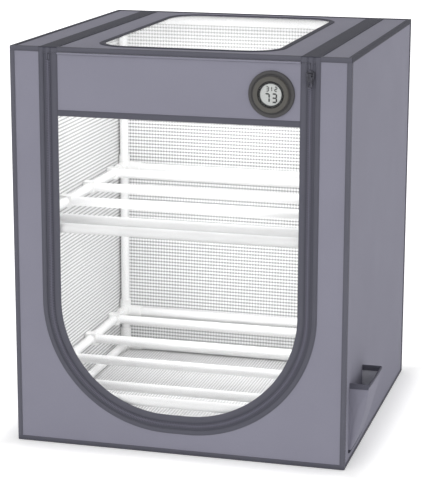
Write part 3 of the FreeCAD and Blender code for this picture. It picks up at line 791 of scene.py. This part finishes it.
cloth = {}
lining = {}
for side, size in PANEL_SIZE.items():
    panel = sheet(side + "_cloth", side, size, 0.0, CLOTH_T, SLACKS[side])
    foil = sheet(side + "_lining_foil", side, LINING_SIZE[side], CLOTH_T + LINING_GAP, LINING_T, SLACKS[side])
    if side == "front":
        carve(panel, u_block(CASE_CLOTH_CUT, MOUTH_TOP))
        carve(foil, u_block(CASE_LINING_CUT, MOUTH_TOP))
    if side == "top":
        carve(panel, round_block(ROOF_CUT))
        carve(foil, round_block(ROOF_CUT))
    look = {"base": BASE_CLOTH, "top": SHADED_ROOF_CLOTH}.get(side, GREY_CLOTH)
    cloth[side] = dress(panel, look, "case", [side + "_panel"])
    lining[side] = dress(foil, LINING, "case", [side + "_lining"])


# Bindings round the edges of the case

def edge_outlines(lap, flip):
    """Outlines of a binding folded over the top edge, or over the base edge when flipped."""
    section = [
        (BINDING_T, BINDING_W), (0.4 * MM, BINDING_W), (0.06 * MM, BINDING_W - 0.8 * MM),
        (0.0, BINDING_W / 2), (0.03 * MM, 1.0 * MM), (0.3 * MM, 0.3 * MM), (1.0 * MM, 0.03 * MM),
        (lap - 0.6 * MM, 0.01 * MM), (lap, 0.4 * MM), (lap, BINDING_T - 0.08 * MM), (BINDING_T, BINDING_T),
    ]
    return [
        (EDGE - inset, EDGE - inset, max(0.3 * MM, 1.4 * MM - inset), TOP - drop if flip else drop)
        for inset, drop in section
    ]


def edge_cut(co):
    return (co.z + max(abs(co.x), abs(co.y)), co.x if abs(co.y) > abs(co.x) else co.y)


ENDS = ("front", "rear", "left", "right")
top_ring = ringed(
    "top_edge_binding", edge_outlines(TOP_LAP, True), 60, 6, edge_cut, TOP_BINDING,
    ["top_binding_" + end for end in ENDS],
)
for _, side in BOTH:
    carve(top_ring, block(
        (side * ZIP_X - BAND_HALF, -EDGE - 5 * MM, TOP - 20 * MM),
        (side * ZIP_X + BAND_HALF, TOP_LAP + 1 * MM - EDGE, TOP + 5 * MM),
    ))
# The side and rear runs of the same top binding take the darker tape: painted shade.
top_ring.data.materials.append(DARK_BINDING)
for face in top_ring.data.polygons:
    if abs(face.center.x) > abs(face.center.y) or face.center.y > 0:
        face.material_index = 1
base_ring = ringed(
    "base_edge_binding", edge_outlines(BINDING_W, False), 60, 6, edge_cut, BASE_BINDING,
    ["base_binding_" + end for end in ENDS],
)
for vert in base_ring.data.vertices:
    if abs(vert.co.x) > abs(vert.co.y) and abs(vert.co.y) < EDGE - 1.3 * MM and vert.co.z > BINDING_T:
        vert.co.z = BINDING_T + (vert.co.z - BINDING_T) * (BASE_SIDE_W - BINDING_T) / (BINDING_W - BINDING_T)


def upright_binding(end, wing, x_side, y_side):
    """The tape folded over one upright corner of the case."""
    inner, lap = EDGE - BINDING_T, EDGE - BINDING_W
    half = [
        (lap, inner), (lap, EDGE - 0.4 * MM), (lap + 0.8 * MM, EDGE - 0.06 * MM),
        (EDGE - BINDING_W / 2, EDGE), (EDGE - 1.0 * MM, EDGE - 0.03 * MM),
    ]
    other_half = [(b, a) for a, b in reversed(half)]
    section = half + [(EDGE - 0.3 * MM, EDGE - 0.3 * MM)] + other_half + [(inner, inner)]
    tape = straight_tape(
        "upright_binding_" + end + "_" + wing, [(x_side * a, y_side * b, BINDING_W) for a, b in section],
        (0, 0, TOP - 2 * BINDING_W), 90, lambda co: (abs(co.x) - abs(co.y), co.z), BINDING, "case",
        ["corner_binding_" + end + "_" + wing],
    )
    for vert in tape.data.vertices:
        if vert.co.z < BINDING_W + 0.1 * MM and abs(vert.co.y) < EDGE - 0.6 * MM:
            vert.co.z = BASE_SIDE_W
    return tape


uprights = {
    (end, wing): upright_binding(end, wing, x_side, y_side)
    for end, y_side in (("front", -1), ("rear", 1)) for wing, x_side in BOTH
}


# Roof window, its binding and the two bands

roof_film = sheet(
    "roof_film", "top", [2 * half + 9 * MM for half in ROOF_HALF], 0.12 * MM, FILM_T, roof_slack, 7 * MM
)
carve(roof_film, round_block(ROOF_FILM_LAP), "INTERSECT")
dress(roof_film, ROOF_FILM, "case", ["top_window"])
roof_ring = ringed(
    "roof_window_binding",
    [
        (ROOF_HALF[0] + out, ROOF_HALF[1] + out, ROOF_R + out, CLOTH_TOP + rise)
        for out, rise in tape_section(0.0, ROOF_BINDING_W, *ROOF_TAPE_OUT)
    ],
    40, 14, lambda co: (co.x, co.y) if abs(co.x) > ROOF_HALF[0] else (co.y, co.x), DARK_BINDING,
    ["top_window_binding"],
)
BAND_FRONT, BAND_REAR = 0.03 * MM - EDGE, EDGE - TOP_LAP - 0.05 * MM
BAND_RUN = BAND_REAR - BAND_FRONT
bands = [
    straight_tape(
        "roof_band_" + wing,
        [
            (x, BAND_FRONT, CLOTH_TOP + rise)
            for x, rise in tape_section(side * ZIP_X - BAND_HALF, side * ZIP_X + BAND_HALF, *BAND_OUT)
        ],
        (0, BAND_RUN, 0), 60, lambda co: (co.x, co.y), ROOF_BAND, "case",
        ["top_band_" + wing],
    )
    for wing, side in BOTH
]


# Zip: facings, tapes, coils and the ends that run over the top binding

def facing_tape(body, sides, top):
    """The raised tape sewn beside the chain."""
    return zip_tape(
        body + "_zip_facing_tape", sides, top, TAPE_OUT, FACING, body,
        [body + "_zip_facing"], TAPE_RIPPLE,
    )


def woven_tape(body, sides):
    """The sunk tape that carries one row of the coil."""
    return zip_tape(
        body + "_zip_woven_tape", sides, HINGE_Z, WOVEN_OUT, ZIP_TAPE, body, [body + "_zip_tape"]
    )


case_facing = facing_tape("case", CASE_FACING, BAND_TOP)
flap_facing = facing_tape("flap", FLAP_FACING, HINGE_Z)
case_tape = woven_tape("case", CASE_TAPE)
flap_tape = woven_tape("flap", FLAP_TAPE)


def scatter(name, shape, places):
    """Copies of one small shape at many places, as one piece."""
    bm = bmesh.new()
    for place in places:
        copy = shape.copy()
        copy.transform(place)
        bm.from_mesh(copy)
        bpy.data.meshes.remove(copy)
    bpy.data.meshes.remove(shape)
    return shaped(name, bm)


def soft_bar(name, size, lift=(0, 0, 0), soft=0.3):
    """A small bar with its edges eased, to be copied along a line."""
    bm = bmesh.new()
    add_box(bm, lift, size)
    bmesh.ops.bevel(
        bm, geom=bm.edges[:], offset=soft * min(size), offset_type="OFFSET", segments=1, profile=0.5,
        affect="EDGES", material=-1,
    )
    return meshed(name, bm)


def coil(body, outward):
    """One side's row of coil turns: each rises over its tape's edge and hooks between two of the others."""
    length = zip_length(COIL_TOP)
    count = int(length / COIL_PITCH)
    first = (length - (count - 0.5) * COIL_PITCH) / 2 + (COIL_PITCH / 2 if outward > 0 else 0)
    tooth = soft_bar("coil_turn", COIL_TURN, (0, outward * COIL_ASIDE, COIL_LIFT), 0.28)
    places = [zip_place(first + index * COIL_PITCH, 0.0, 0.0, COIL_TOP) for index in range(count)]
    dress(scatter(body + "_zip_coil", tooth, places), COIL, body, [body + "_zip_teeth"])


coil("case", 1)
coil("flap", -1)


def zip_end(wing, side, label, sides, face, look, low=ZIP_END_Z, high=BAND_TOP, body="case"):
    """A short run of tape: a stop over the chain's end, or part of the zip's way up to the roof's edge."""
    section = tape_section(*sides, TAPE_OUT[0], face)
    return straight_tape(
        "zip_end_" + label + "_" + wing, [(side * (ZIP_X + a), -CLOTH - out, low) for a, out in section],
        (0, 0, high - low), 6, zip_coordinates, look, body, (),
    )


STOP_LOW = COIL_TOP + 0.1 * MM
zip_ends = [
    zip_end(wing, side, *kind)
    for wing, side in BOTH
    for kind in (
        ("flap", FLAP_FACING, TAPE_OUT[1], FACING),
        ("groove", (-4.7 * MM, 6.35 * MM), 0.3 * MM, ZIP_TAPE),
        ("chain", (-CHAIN_HALF, CHAIN_HALF), CHAIN_OUT, FACING),
        ("case_stop", (0.05 * MM, CHAIN_HALF), CHAIN_OUT, FACING, STOP_LOW, ZIP_END_Z - 0.1 * MM),
    )
]
flap_stops = [
    zip_end(
        wing, side, "flap_stop", (-CHAIN_HALF, -0.05 * MM), CHAIN_OUT, FACING,
        STOP_LOW, HINGE_Z - 1.3 * MM, "flap",
    )
    for wing, side in BOTH
]


# Flap: cloth head, clear film, hem and the rolled edge that it turns on

def gauge_block(radius):
    bm = bmesh.new()
    bmesh.ops.create_cone(
        bm, cap_ends=True, segments=64, radius1=radius, radius2=radius, depth=30 * MM,
        matrix=Matrix.Translation((GAUGE_X, -CLOTH, GAUGE_Z)) @ Matrix.Rotation(TURN / 4, 4, "X"),
    )
    return shaped("gauge_block", bm)


flap_cloth = sheet("flap_head_cloth", "flap", FLAP_SIZE, 0.0, CLOTH_T, flap_slack, 3.5 * MM)
carve(flap_cloth, gauge_block(GAUGE_HOLE_R))
dress(flap_cloth, GREY_CLOTH, "flap", ["flap_panel"])

window_film = sheet(
    "front_window_film", "film", [length + 4 * MM for length in FILM_SIZE], 0.1 * MM, FILM_T,
    window_slack, 8 * MM,
)
carve(window_film, u_block(FILM_CUT, FLAP_SEAM_Z), "INTERSECT")
dress(window_film, WINDOW_FILM, "flap", ["flap_window"])

hem = straight_tape(
    "flap_hem_tape", [(-HEM_HALF, -CLOTH - out, z) for z, out in tape_section(*HEM, *TAPE_OUT)],
    (2 * HEM_HALF, 0, 0), 70, lambda co: (co.z, co.x), FACING, "flap", ["flap_hem"],
)


def rolled_edge():
    """The rolled edge of the flap's cloth, with the slight twist that rolled cloth takes."""
    bm = bmesh.new()
    flat = -CLOTH - TAPE_OUT[0]
    points = [
        (-HEM_HALF, min(flat, HINGE_Y + ROLL_R * math.cos(turn)), HINGE_Z + ROLL_R * math.sin(turn))
        for turn in (TURN * index / 12 for index in range(12))
    ]
    spun(bm, closed_profile(bm, points), step=(2 * HEM_HALF / ROLL_STEPS, 0, 0), count=ROLL_STEPS)
    close_shell(bm)
    for vert in bm.verts:
        if vert.co.y < flat - 0.1 * MM:
            vert.co.y += 0.08 * MM * (math.sin(vert.co.x / (3.1 * MM) + vert.co.z / (0.8 * MM)) + 1)
    set_cut(bm, lambda co: (co.z, co.x))
    return dress(shaped("flap_rolled_edge", bm), GREY_CLOTH, "flap", ["flap_hinge_bead"])


roll = rolled_edge()


# Gauge

def turned(name, profile, material, nodes):
    """A ring or disc turned about the gauge's axis. Its corners are radii and distances in front of the
    cloth, in millimetres."""
    bm = bmesh.new()
    corners = [(GAUGE_X + radius * MM, -CLOTH - out * MM, GAUGE_Z) for radius, out in profile]
    bmesh.ops.spin(
        bm, geom=closed_profile(bm, corners), cent=(GAUGE_X, 0, GAUGE_Z), axis=(0, 1, 0), angle=TURN,
        steps=96, use_merge=True,
    )
    close_shell(bm)
    return dress(shaped(name, bm), material, "flap", nodes, crease=28)


turned("gauge_grommet_ring", [
    (20.6, 2.9), (23.6, 2.9), (23.9, 2.3), (24.5, 2.1), (25.0, 2.4), (25.6, 2.8), (26.6, 3.0), (28.2, 3.0),
    (29.1, 2.7), (29.6, 2.1), (29.75, 1.4), (29.75, 0.03), (24.0, 0.03), (24.0, -1.43), (26.7, -1.43),
    (27.0, -1.8), (26.8, -3.0), (26.3, -3.35), (20.6, -3.35),
], RUBBER, ["gauge_grommet"])
turned("gauge_bezel", [
    (23.1, 3.0), (23.1, 5.3), (22.9, 5.9), (22.4, 6.35), (21.6, 6.5), (19.4, 6.5), (17.2, 6.2), (16.5, 6.1),
    (16.3, 5.9), (16.3, 5.3), (14.35, 5.3), (14.35, 4.3), (18.9, 4.3), (18.9, -10.0), (20.0, -10.0),
    (20.4, -9.6), (20.4, 3.0),
], GAUGE_SHELL, ["gauge_housing"])
turned("gauge_dark_rim", [
    (13.9, 4.34), (13.9, 5.32), (14.2, 5.42), (16.0, 5.42), (16.22, 5.33), (16.22, 5.31), (14.37, 5.31),
    (14.37, 4.34),
], GAUGE_BLACK, ())
turned("gauge_lip_ring", [
    (16.32, 6.0), (16.32, 6.13), (16.5, 6.16), (17.0, 6.235), (17.15, 6.2), (16.5, 6.08),
], GAUGE_BLACK, ())
turned("gauge_domed_lens", [
    (0.0, 5.5), (16.1, 5.5), (16.2, 5.7), (16.1, 5.95), (14.0, 6.12), (10.0, 6.24), (5.0, 6.3), (0.0, 6.32),
], LENS, ["gauge_lens"])

SEGMENTS = {"1": "bc", "2": "abged", "3": "abgcd", "7": "abc"}


def digit_places(figure, middle_x, middle_z, wide, tall, bar):
    """Where the bars of one figure lie on the display, each as a matrix that stretches a unit bar."""
    half_x, half_z = wide / 2, tall / 2
    spots = {
        "a": (0, half_z, True), "g": (0, 0, True), "d": (0, -half_z, True),
        "b": (half_x, half_z / 2, False), "c": (half_x, -half_z / 2, False),
        "e": (-half_x, -half_z / 2, False),
    }
    for segment in SEGMENTS[figure]:
        x, z, level = spots[segment]
        length = (wide if level else half_z) - bar * 0.45
        size_x, size_z = (length, bar) if level else (bar, length)
        centre = (GAUGE_X + (middle_x + x) * MM, -CLOTH - FIGURE_OUT, GAUGE_Z + (middle_z + z) * MM)
        yield Matrix.Translation(centre) @ Matrix.Diagonal((size_x * MM, FIGURE_T, size_z * MM, 1))


figures = [
    *digit_places("7", -4.6, -4.3, 5.0, 10.4, 1.9), *digit_places("3", 4.6, -4.3, 5.2, 10.4, 1.9),
    *digit_places("3", -4.4, 7.0, 2.8, 5.4, 1.15), *digit_places("1", -0.2, 7.0, 2.6, 5.4, 1.15),
    *digit_places("2", 6.4, 7.0, 2.8, 5.4, 1.15),
]
figure_bar = soft_bar("figure_bar", (1, 1, 1), soft=0.12)
dress(scatter("gauge_figures", figure_bar, figures), DIGIT_INK, "flap", ())


# Pocket

def pocket_point(run, rise, out=0.0):
    """A place on the pocket's cloth. Run goes from the wall round the front, outside and back to the wall
    again, and rise goes from its foot to its mouth, both 0 to 1."""
    front, rear = POCKET_Y
    z = POCKET_Z[0] + rise * POCKET_TALL
    depth = POCKET_FOOT + (POCKET_MOUTH - POCKET_FOOT) * rise + 4 * POCKET_BULGE * rise * (1 - rise)
    corner = min(0.7 * depth, (10 - 9 * ease(0.6, 0.95, rise)) * MM)
    from_wall = min(run, 1 - run)
    end, y = (-1, front) if run < 0.5 else (1, rear)
    if from_wall < GUSSET:
        facing_out = Vector((0, end, 0))
        point = Vector((from_wall / GUSSET * (depth - corner), y, z))
    elif from_wall < GUSSET + CORNER:
        turn = (from_wall - GUSSET) / CORNER * TURN / 4
        facing_out = Vector((math.sin(turn), end * math.cos(turn), 0))
        point = Vector((depth - corner, y - end * corner, z)) + facing_out * corner
    else:
        facing_out = Vector((1, 0, 0))
        share = (run - GUSSET - CORNER) / (1 - 2 * (GUSSET + CORNER))
        point = Vector((depth, front + corner + share * (rear - front - 2 * corner), z))
    free = math.sin(math.pi * min(1.0, max(0.0, (run - GUSSET) / (1 - 2 * GUSSET))))
    point.z -= 1.1 * MM * free * ease(0.75, 1.0, rise)
    point.x += CLOTH + SLACKS["right"](point.y, z - MID_Z)
    soft = drift(run * 5.5, rise * 3.0, 2.7) * min(1.0, 6 * rise) * (1 - ease(0.85, 1.0, rise))
    return point + facing_out * (out + 0.8 * MM * soft * ease(0.0, 0.2, run) * ease(0.0, 0.2, 1 - run))


def pocket_piece(name, columns, rows, place, thick, flat, material, back, nodes):
    """A piece of the pocket: a grid laid round it by a rule, then given its thickness and its back."""
    bm = bmesh.new()
    bmesh.ops.create_grid(
        bm, x_segments=columns, y_segments=rows, size=0.5, matrix=Matrix.Translation((0.5, 0.5, 0))
    )
    set_cut(bm, lambda co: (co.x * flat[0], co.y * flat[1]))
    for vert in bm.verts:
        vert.co = place(vert.co.x, vert.co.y)
    bm.normal_update()
    piece = shaped(name, bm)
    for look in (material, back):
        piece.data.materials.append(look)
    shell = piece.modifiers.new("thickness", "SOLIDIFY")
    shell.thickness = thick
    shell.offset = -1
    shell.material_offset = 1
    return dress(settled(piece), None, "case", nodes, crease=50)


def rim_point(run, turn):
    """A place on the rim's tape, which goes up the outside, over the mouth and down the inside."""
    deep = (6.5 - 4.0 * ease(0.235, 0.275, run) * ease(0.235, 0.275, 1 - run)) * MM
    if turn < RIM_SIDE:
        return pocket_point(run, 1 - deep * (1 - turn / RIM_SIDE) / POCKET_TALL, RIM_OUT)
    if turn > 1 - RIM_SIDE:
        down = (turn - 1 + RIM_SIDE) / RIM_SIDE
        return pocket_point(run, 1 - deep * down / POCKET_TALL, -POCKET_T - RIM_OUT)
    bend = (turn - RIM_SIDE) / (1 - 2 * RIM_SIDE) * math.pi
    middle = POCKET_T / 2
    top = pocket_point(run, 1.0, (middle + RIM_OUT) * math.cos(bend) - middle)
    return top + Vector((0, 0, RIM_OUT * math.sin(bend)))


def seam_point(run, turn):
    """A place on the dark roll along the pocket's foot, which is fullest at the front corner."""
    full = 1 - 0.75 * ease(0.2, 0.7, run)
    return pocket_point(run, 0.05 * full * turn, (0.1 + 0.6 * full * math.sin(math.pi * turn)) * MM)


pouch = pocket_piece(
    "pocket_pouch_cloth", 80, 36, pocket_point, POCKET_T - 0.1 * MM, POCKET_CUT, POCKET_CLOTH, POCKET_BACK_PAINTED_LIGHT,
    ["pocket_pouch"],
)
rim = pocket_piece(
    "pocket_rim_tape", 100, 20, rim_point, 0.6 * MM, (POCKET_CUT[0], 14 * MM), POCKET_RIM, POCKET_RIM,
    ["pocket_rim"],
)
foot_seam = pocket_piece(
    "pocket_foot_seam", 80, 6, seam_point, 0.08 * MM, (POCKET_CUT[0], 5 * MM), DARK_BINDING, DARK_BINDING,
    (),
)


# Rigid pieces that keep their shape from the solids

def eased_copy(name, node, width, material, body):
    """A copy of a solid with its sharp edges eased, so that they catch the light."""
    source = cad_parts[node]
    bm = bmesh.new()
    bm.from_mesh(source.data)
    bm.transform(source.matrix_world)
    bmesh.ops.remove_doubles(bm, verts=bm.verts, dist=0.002 * MM)
    bmesh.ops.dissolve_limit(bm, angle_limit=math.radians(1.5), verts=bm.verts, edges=bm.edges)
    sharp = [edge for edge in bm.edges if edge.is_manifold and edge.calc_face_angle() > math.radians(40)]
    bmesh.ops.bevel(
        bm, geom=sharp, offset=width, offset_type="OFFSET", segments=2, profile=0.5, affect="EDGES",
        clamp_overlap=True, material=-1,
    )
    bmesh.ops.recalc_face_normals(bm, faces=bm.faces)
    return dress(shaped(name, bm), material, body, [node], crease=32)


eased_copy("zip_slider_body", "zip_slider", 0.25 * MM, ZIP_METAL, "slider")
eased_copy("zip_pull_tab_plate", "zip_pull_tab", 0.22 * MM, ZIP_METAL, "pull_tab")
TUBES = ["frame_posts", "top_tubes", "base_tubes"]
for look, nodes in (
    (DISPLAY, ["gauge_display"]), (BOARD, ["gauge_board"]), (CELL, ["gauge_cells"]),
    (GAUGE_BLACK, ["gauge_back_cover"]),
    (TUBE_PAINT, TUBES + ["upper_shelf_tubes", "lower_shelf_tubes", "upper_rails", "lower_rails"]),
    (FITTING, ["rail_blocks", "top_connectors", "base_connectors", "shelf_connectors"]),
):
    for node in nodes:
        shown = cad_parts[node].data.materials
        shown.clear()
        shown.append(look)


# Stitches

def stitched(start, end, out):
    """Places for stitches along a straight line."""
    start, end = Vector(start), Vector(end)
    count = int((end - start).length / STITCH_PITCH)
    along = (end - start).normalized()
    return [set_place(start.lerp(end, (index + 0.5) / count), along, Vector(out)) for index in range(count)]


def stitched_zip(sides, top):
    """Places for stitches along both edges of a zip's facing."""
    length = zip_length(top)
    count = int(length / STITCH_PITCH)
    return [
        zip_place((index + 0.5) * length / count, offset, ZIP_STITCH_OUT, top)
        for offset in (sides[0] + ZIP_STITCH, sides[1] - ZIP_STITCH) for index in range(count)
    ]


def stitched_round(grown):
    """Places for stitches round the roof window."""
    half_x, half_y, radius = ROOF_HALF[0] + grown, ROOF_HALF[1] + grown, ROOF_R + grown
    flat_x, flat_y, up = half_x - radius, half_y - radius, Vector((0, 0, 1))
    places = []
    for side in (-1, 1):
        places += stitched((side * half_x, -flat_y, TOP), (side * half_x, flat_y, TOP), up)
        places += stitched((-flat_x, side * half_y, TOP), (flat_x, side * half_y, TOP), up)
    count = int(radius * TURN / 4 / STITCH_PITCH)
    for side_x in (-1, 1):
        for side_y in (-1, 1):
            for index in range(count):
                turn = TURN / 4 * (index + 0.5) / count
                x, y = flat_x + radius * math.cos(turn), flat_y + radius * math.sin(turn)
                along = Vector((-side_x * math.sin(turn), side_y * math.cos(turn), 0))
                places.append(set_place((side_x * x, side_y * y, TOP), along, up))
    return places


def stitches(name, body, places):
    return dress(scatter(name, soft_bar("stitch", STITCH, soft=0.32), places), THREAD, body)


BESIDE = EDGE - BINDING_W + BINDING_STITCH
LOW, HIGH = BINDING_W, TOP - BINDING_W
ROW_LOW, ROW_HIGH = LOW - BINDING_STITCH, HIGH + BINDING_STITCH
case_rows = []
for side in (-1, 1):
    for end in (-1, 1):
        for x, y, out in ((BESIDE, EDGE, (0, end, 0)), (EDGE, BESIDE, (side, 0, 0))):
            case_rows += stitched((side * x, end * y, LOW), (side * x, end * y, HIGH), out)
    for z in (ROW_LOW, ROW_HIGH):
        case_rows += stitched((side * EDGE, -BESIDE, z), (side * EDGE, BESIDE, z), (side, 0, 0))
    for edge in (ROOF_STITCH - BAND_HALF, BAND_HALF - ROOF_STITCH):
        x = side * ZIP_X + edge
        case_rows += stitched((x, BAND_FRONT, BAND_STITCH_Z), (x, BAND_REAR, BAND_STITCH_Z), (0, 0, 1))
for z in (ROW_LOW, ROW_HIGH):
    case_rows += stitched((-BESIDE, EDGE, z), (BESIDE, EDGE, z), (0, 1, 0))
inner_x, outer_x = ZIP_X - BAND_HALF, ZIP_X + BAND_HALF
for start, end, z in (
    (-BESIDE, BESIDE, ROW_LOW), (-BESIDE, -outer_x, ROW_HIGH), (-inner_x, inner_x, ROW_HIGH),
    (outer_x, BESIDE, ROW_HIGH),
):
    case_rows += stitched((start, -EDGE, z), (end, -EDGE, z), (0, -1, 0))
case_thread = stitches("binding_stitches", "case", case_rows)
zip_thread = stitches("case_zip_stitches", "case", stitched_zip(CASE_FACING, ZIP_END_Z))
roof_thread = stitches(
    "roof_stitches", "case", stitched_round(ROOF_STITCH) + stitched_round(ROOF_BINDING_W - ROOF_STITCH)
)
flap_rows = stitched_zip(FLAP_FACING, HINGE_Z - 2 * MM)
for z in (HEM[0] + ZIP_STITCH, HEM[1] - ZIP_STITCH):
    flap_rows += stitched((-HEM_HALF, -EDGE, z), (HEM_HALF, -EDGE, z), (0, -1, 0))
flap_thread = stitches("flap_stitches", "flap", flap_rows)


# The cloth pieces and the sizes that they were cut to, passed to cut(), which keeps nothing

def cut(piece, size, held, rests_on, area=None, pieces=()):
    tuple(size)
    list(pieces)
    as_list(rests_on)


def area_left(side, size, mouth_cut):
    """What is left of a side's sheet where the mouth or the roof window is cut out of it."""
    opening = {"front": u_area(mouth_cut, MOUTH_TOP), "top": round_area(ROOF_CUT)}.get(side)
    return size[0] * size[1] - opening if opening else None


SEWN_ON = {
    "front": [
        case_facing, case_tape, zip_thread, uprights["front", "left"], uprights["front", "right"], *zip_ends,
    ],
    "rear": [uprights["rear", "left"], uprights["rear", "right"]],
    "top": [top_ring, case_thread],
    "base": [base_ring],
}
for side, size in PANEL_SIZE.items():
    held, tubes = ("laid", ["base_tubes"]) if side == "base" else ("stretched", TUBES)
    cut(cloth[side], size, held, tubes, area_left(side, size, CASE_CLOTH_CUT), SEWN_ON.get(side, ()))
for side, size in LINING_SIZE.items():
    cut(lining[side], size, "stretched", [cloth[side]], area_left(side, size, CASE_LINING_CUT))
cut(
    flap_cloth, FLAP_SIZE, "stretched", [flap_facing],
    FLAP_SIZE[0] * FLAP_SIZE[1] - math.pi * GAUGE_HOLE_R ** 2,
    [flap_facing, flap_tape, hem, roll, flap_thread, *flap_stops],
)
cut(window_film, FILM_SIZE, "stretched", [flap_facing, hem], u_area(FILM_CUT, FLAP_SEAM_Z))
cut(
    roof_film, [2 * (half + ROOF_FILM_LAP) for half in ROOF_HALF], "stretched", [roof_ring],
    round_area(ROOF_FILM_LAP), [roof_ring, roof_thread],
)
for band in bands:
    cut(band, (2 * BAND_HALF, BAND_RUN), "laid", [cloth["top"]])
cut(
    pouch, POCKET_CUT, "hung", [cloth["right"]],
    (POCKET_Y[1] - POCKET_Y[0]) * POCKET_CUT[1] + (POCKET_FOOT + POCKET_MOUTH) * POCKET_TALL,
    [rim, foot_seam],
)


# Camera, light and floor

def aim_camera():
    az, el, roll_angle = CAMERA_AZIMUTH, CAMERA_ELEVATION, CAMERA_ROLL
    back = Vector((math.sin(az) * math.cos(el), -math.cos(az) * math.cos(el), math.sin(el)))
    level = Vector((math.cos(az), math.sin(az), 0))
    rise = back.cross(level)
    right = level * math.cos(roll_angle) + rise * math.sin(roll_angle)
    up = rise * math.cos(roll_angle) - level * math.sin(roll_angle)
    aim = Vector((0, 0, CAMERA_AIM_Z)) + right * CAMERA_SHIFT[0] + up * CAMERA_SHIFT[1]
    camera = bpy.data.objects.new("camera", bpy.data.cameras.new("camera"))
    camera.data.sensor_width = 36
    camera.data.lens = CAMERA_LENS
    camera.data.clip_start = 0.05
    camera.data.clip_end = 60
    camera.matrix_world = set_place(aim + back * CAMERA_DISTANCE, right, back)
    bpy.context.scene.collection.objects.link(camera)
    bpy.context.scene.camera = camera


def seen_directly(look):
    """1 for rays from the camera, from gloss and through film, and 0 for rays that light the object."""
    camera, gloss, through = (look.add("LightPath", out=ray) for ray in (0, 3, 6))
    return camera.highest(gloss).highest(through)


def light_world():
    world = bpy.data.worlds.new("studio")
    bpy.context.scene.world = world
    look = Look(world)
    height = look.axes(look.add("TexCoord"))[2]
    glow = height.step(0.0, 0.9) * -0.55 + 1.12
    soft = look.add("Background", None, {"Strength": glow, "Color": (1, 1, 1, 1)})
    white = look.add("Background", None, {"Color": (1, 1, 1, 1)})
    look.finish(look.add("MixShader", None, {0: seen_directly(look), 1: soft, 2: white}), "OutputWorld")


def lay_floor():
    """A pale floor that keeps the shadow close to the case and goes to plain white further out."""
    bm = bmesh.new()
    bmesh.ops.create_circle(
        bm, cap_ends=True, segments=64, radius=9.0, matrix=Matrix.Translation((0, 0, -0.2 * MM))
    )
    floor = shaped("floor", bm)
    look = new_look("pale_floor")
    matt = look.surface(look.mix(look.cloud(0.4), (0.88, 0.88, 0.88, 1), (0.90, 0.90, 0.90, 1)), 0.9)
    x, y, _ = look.axes(look.place())
    away = x.size().highest(y.size()) - EDGE
    lift = look.add("Emission", None, {
        "Color": (1, 1, 1, 1), "Strength": seen_directly(look) * (away.step(0.0, 62 * MM) * 0.45 + 0.28),
    })
    floor.data.materials.append(look.finish(look.add("AddShader", None, {0: matt, 1: lift})))


def lamp(name, kind, energy, place, aim, **settings):
    light = bpy.data.lights.new(name, kind)
    light.energy = energy
    for key, value in settings.items():
        setattr(light, key, value)
    holder = bpy.data.objects.new(name, light)
    bpy.context.scene.collection.objects.link(holder)
    turn = (Vector(aim) - Vector(place)).to_track_quat("-Z", "Y")
    holder.matrix_world = Matrix.Translation(place) @ turn.to_matrix().to_4x4()
    holder.visible_camera = False
    holder.visible_glossy = False


aim_camera()
light_world()
lay_floor()
lamp("soft_key", "SUN", 0.65, (-0.9, -2.4, 1.1), (0, 0, 0.25), angle=math.radians(50))
lamp("side_fill", "AREA", 1.0, (1.6, 0.5, 0.3), (0.2, 0, 0.25), shape="RECTANGLE", size=0.8, size_y=0.5)
lamp("room_fill", "AREA", 0.82, (0, 0, 0.513), (0, 0, 0.1), shape="RECTANGLE", size=0.26, size_y=0.26)
lamp("shelf_fill", "AREA", 0.35, (0, 0, 0.25), (0, 0, 0.1), shape="RECTANGLE", size=0.14, size_y=0.14)
for name, energy, height, aim_height in (
    ("upper_wall_fill", 0.2, 0.45, 0.5), ("lower_wall_fill", 0.12, 0.25, 0.24),
):
    lamp(
        name, "AREA", energy, (-0.06, -0.15, height), (-0.06, ROOM, aim_height),
        shape="RECTANGLE", size=0.24, size_y=0.05, spread=math.radians(100),
    )
bpy.context.scene.view_settings.view_transform = "Standard"
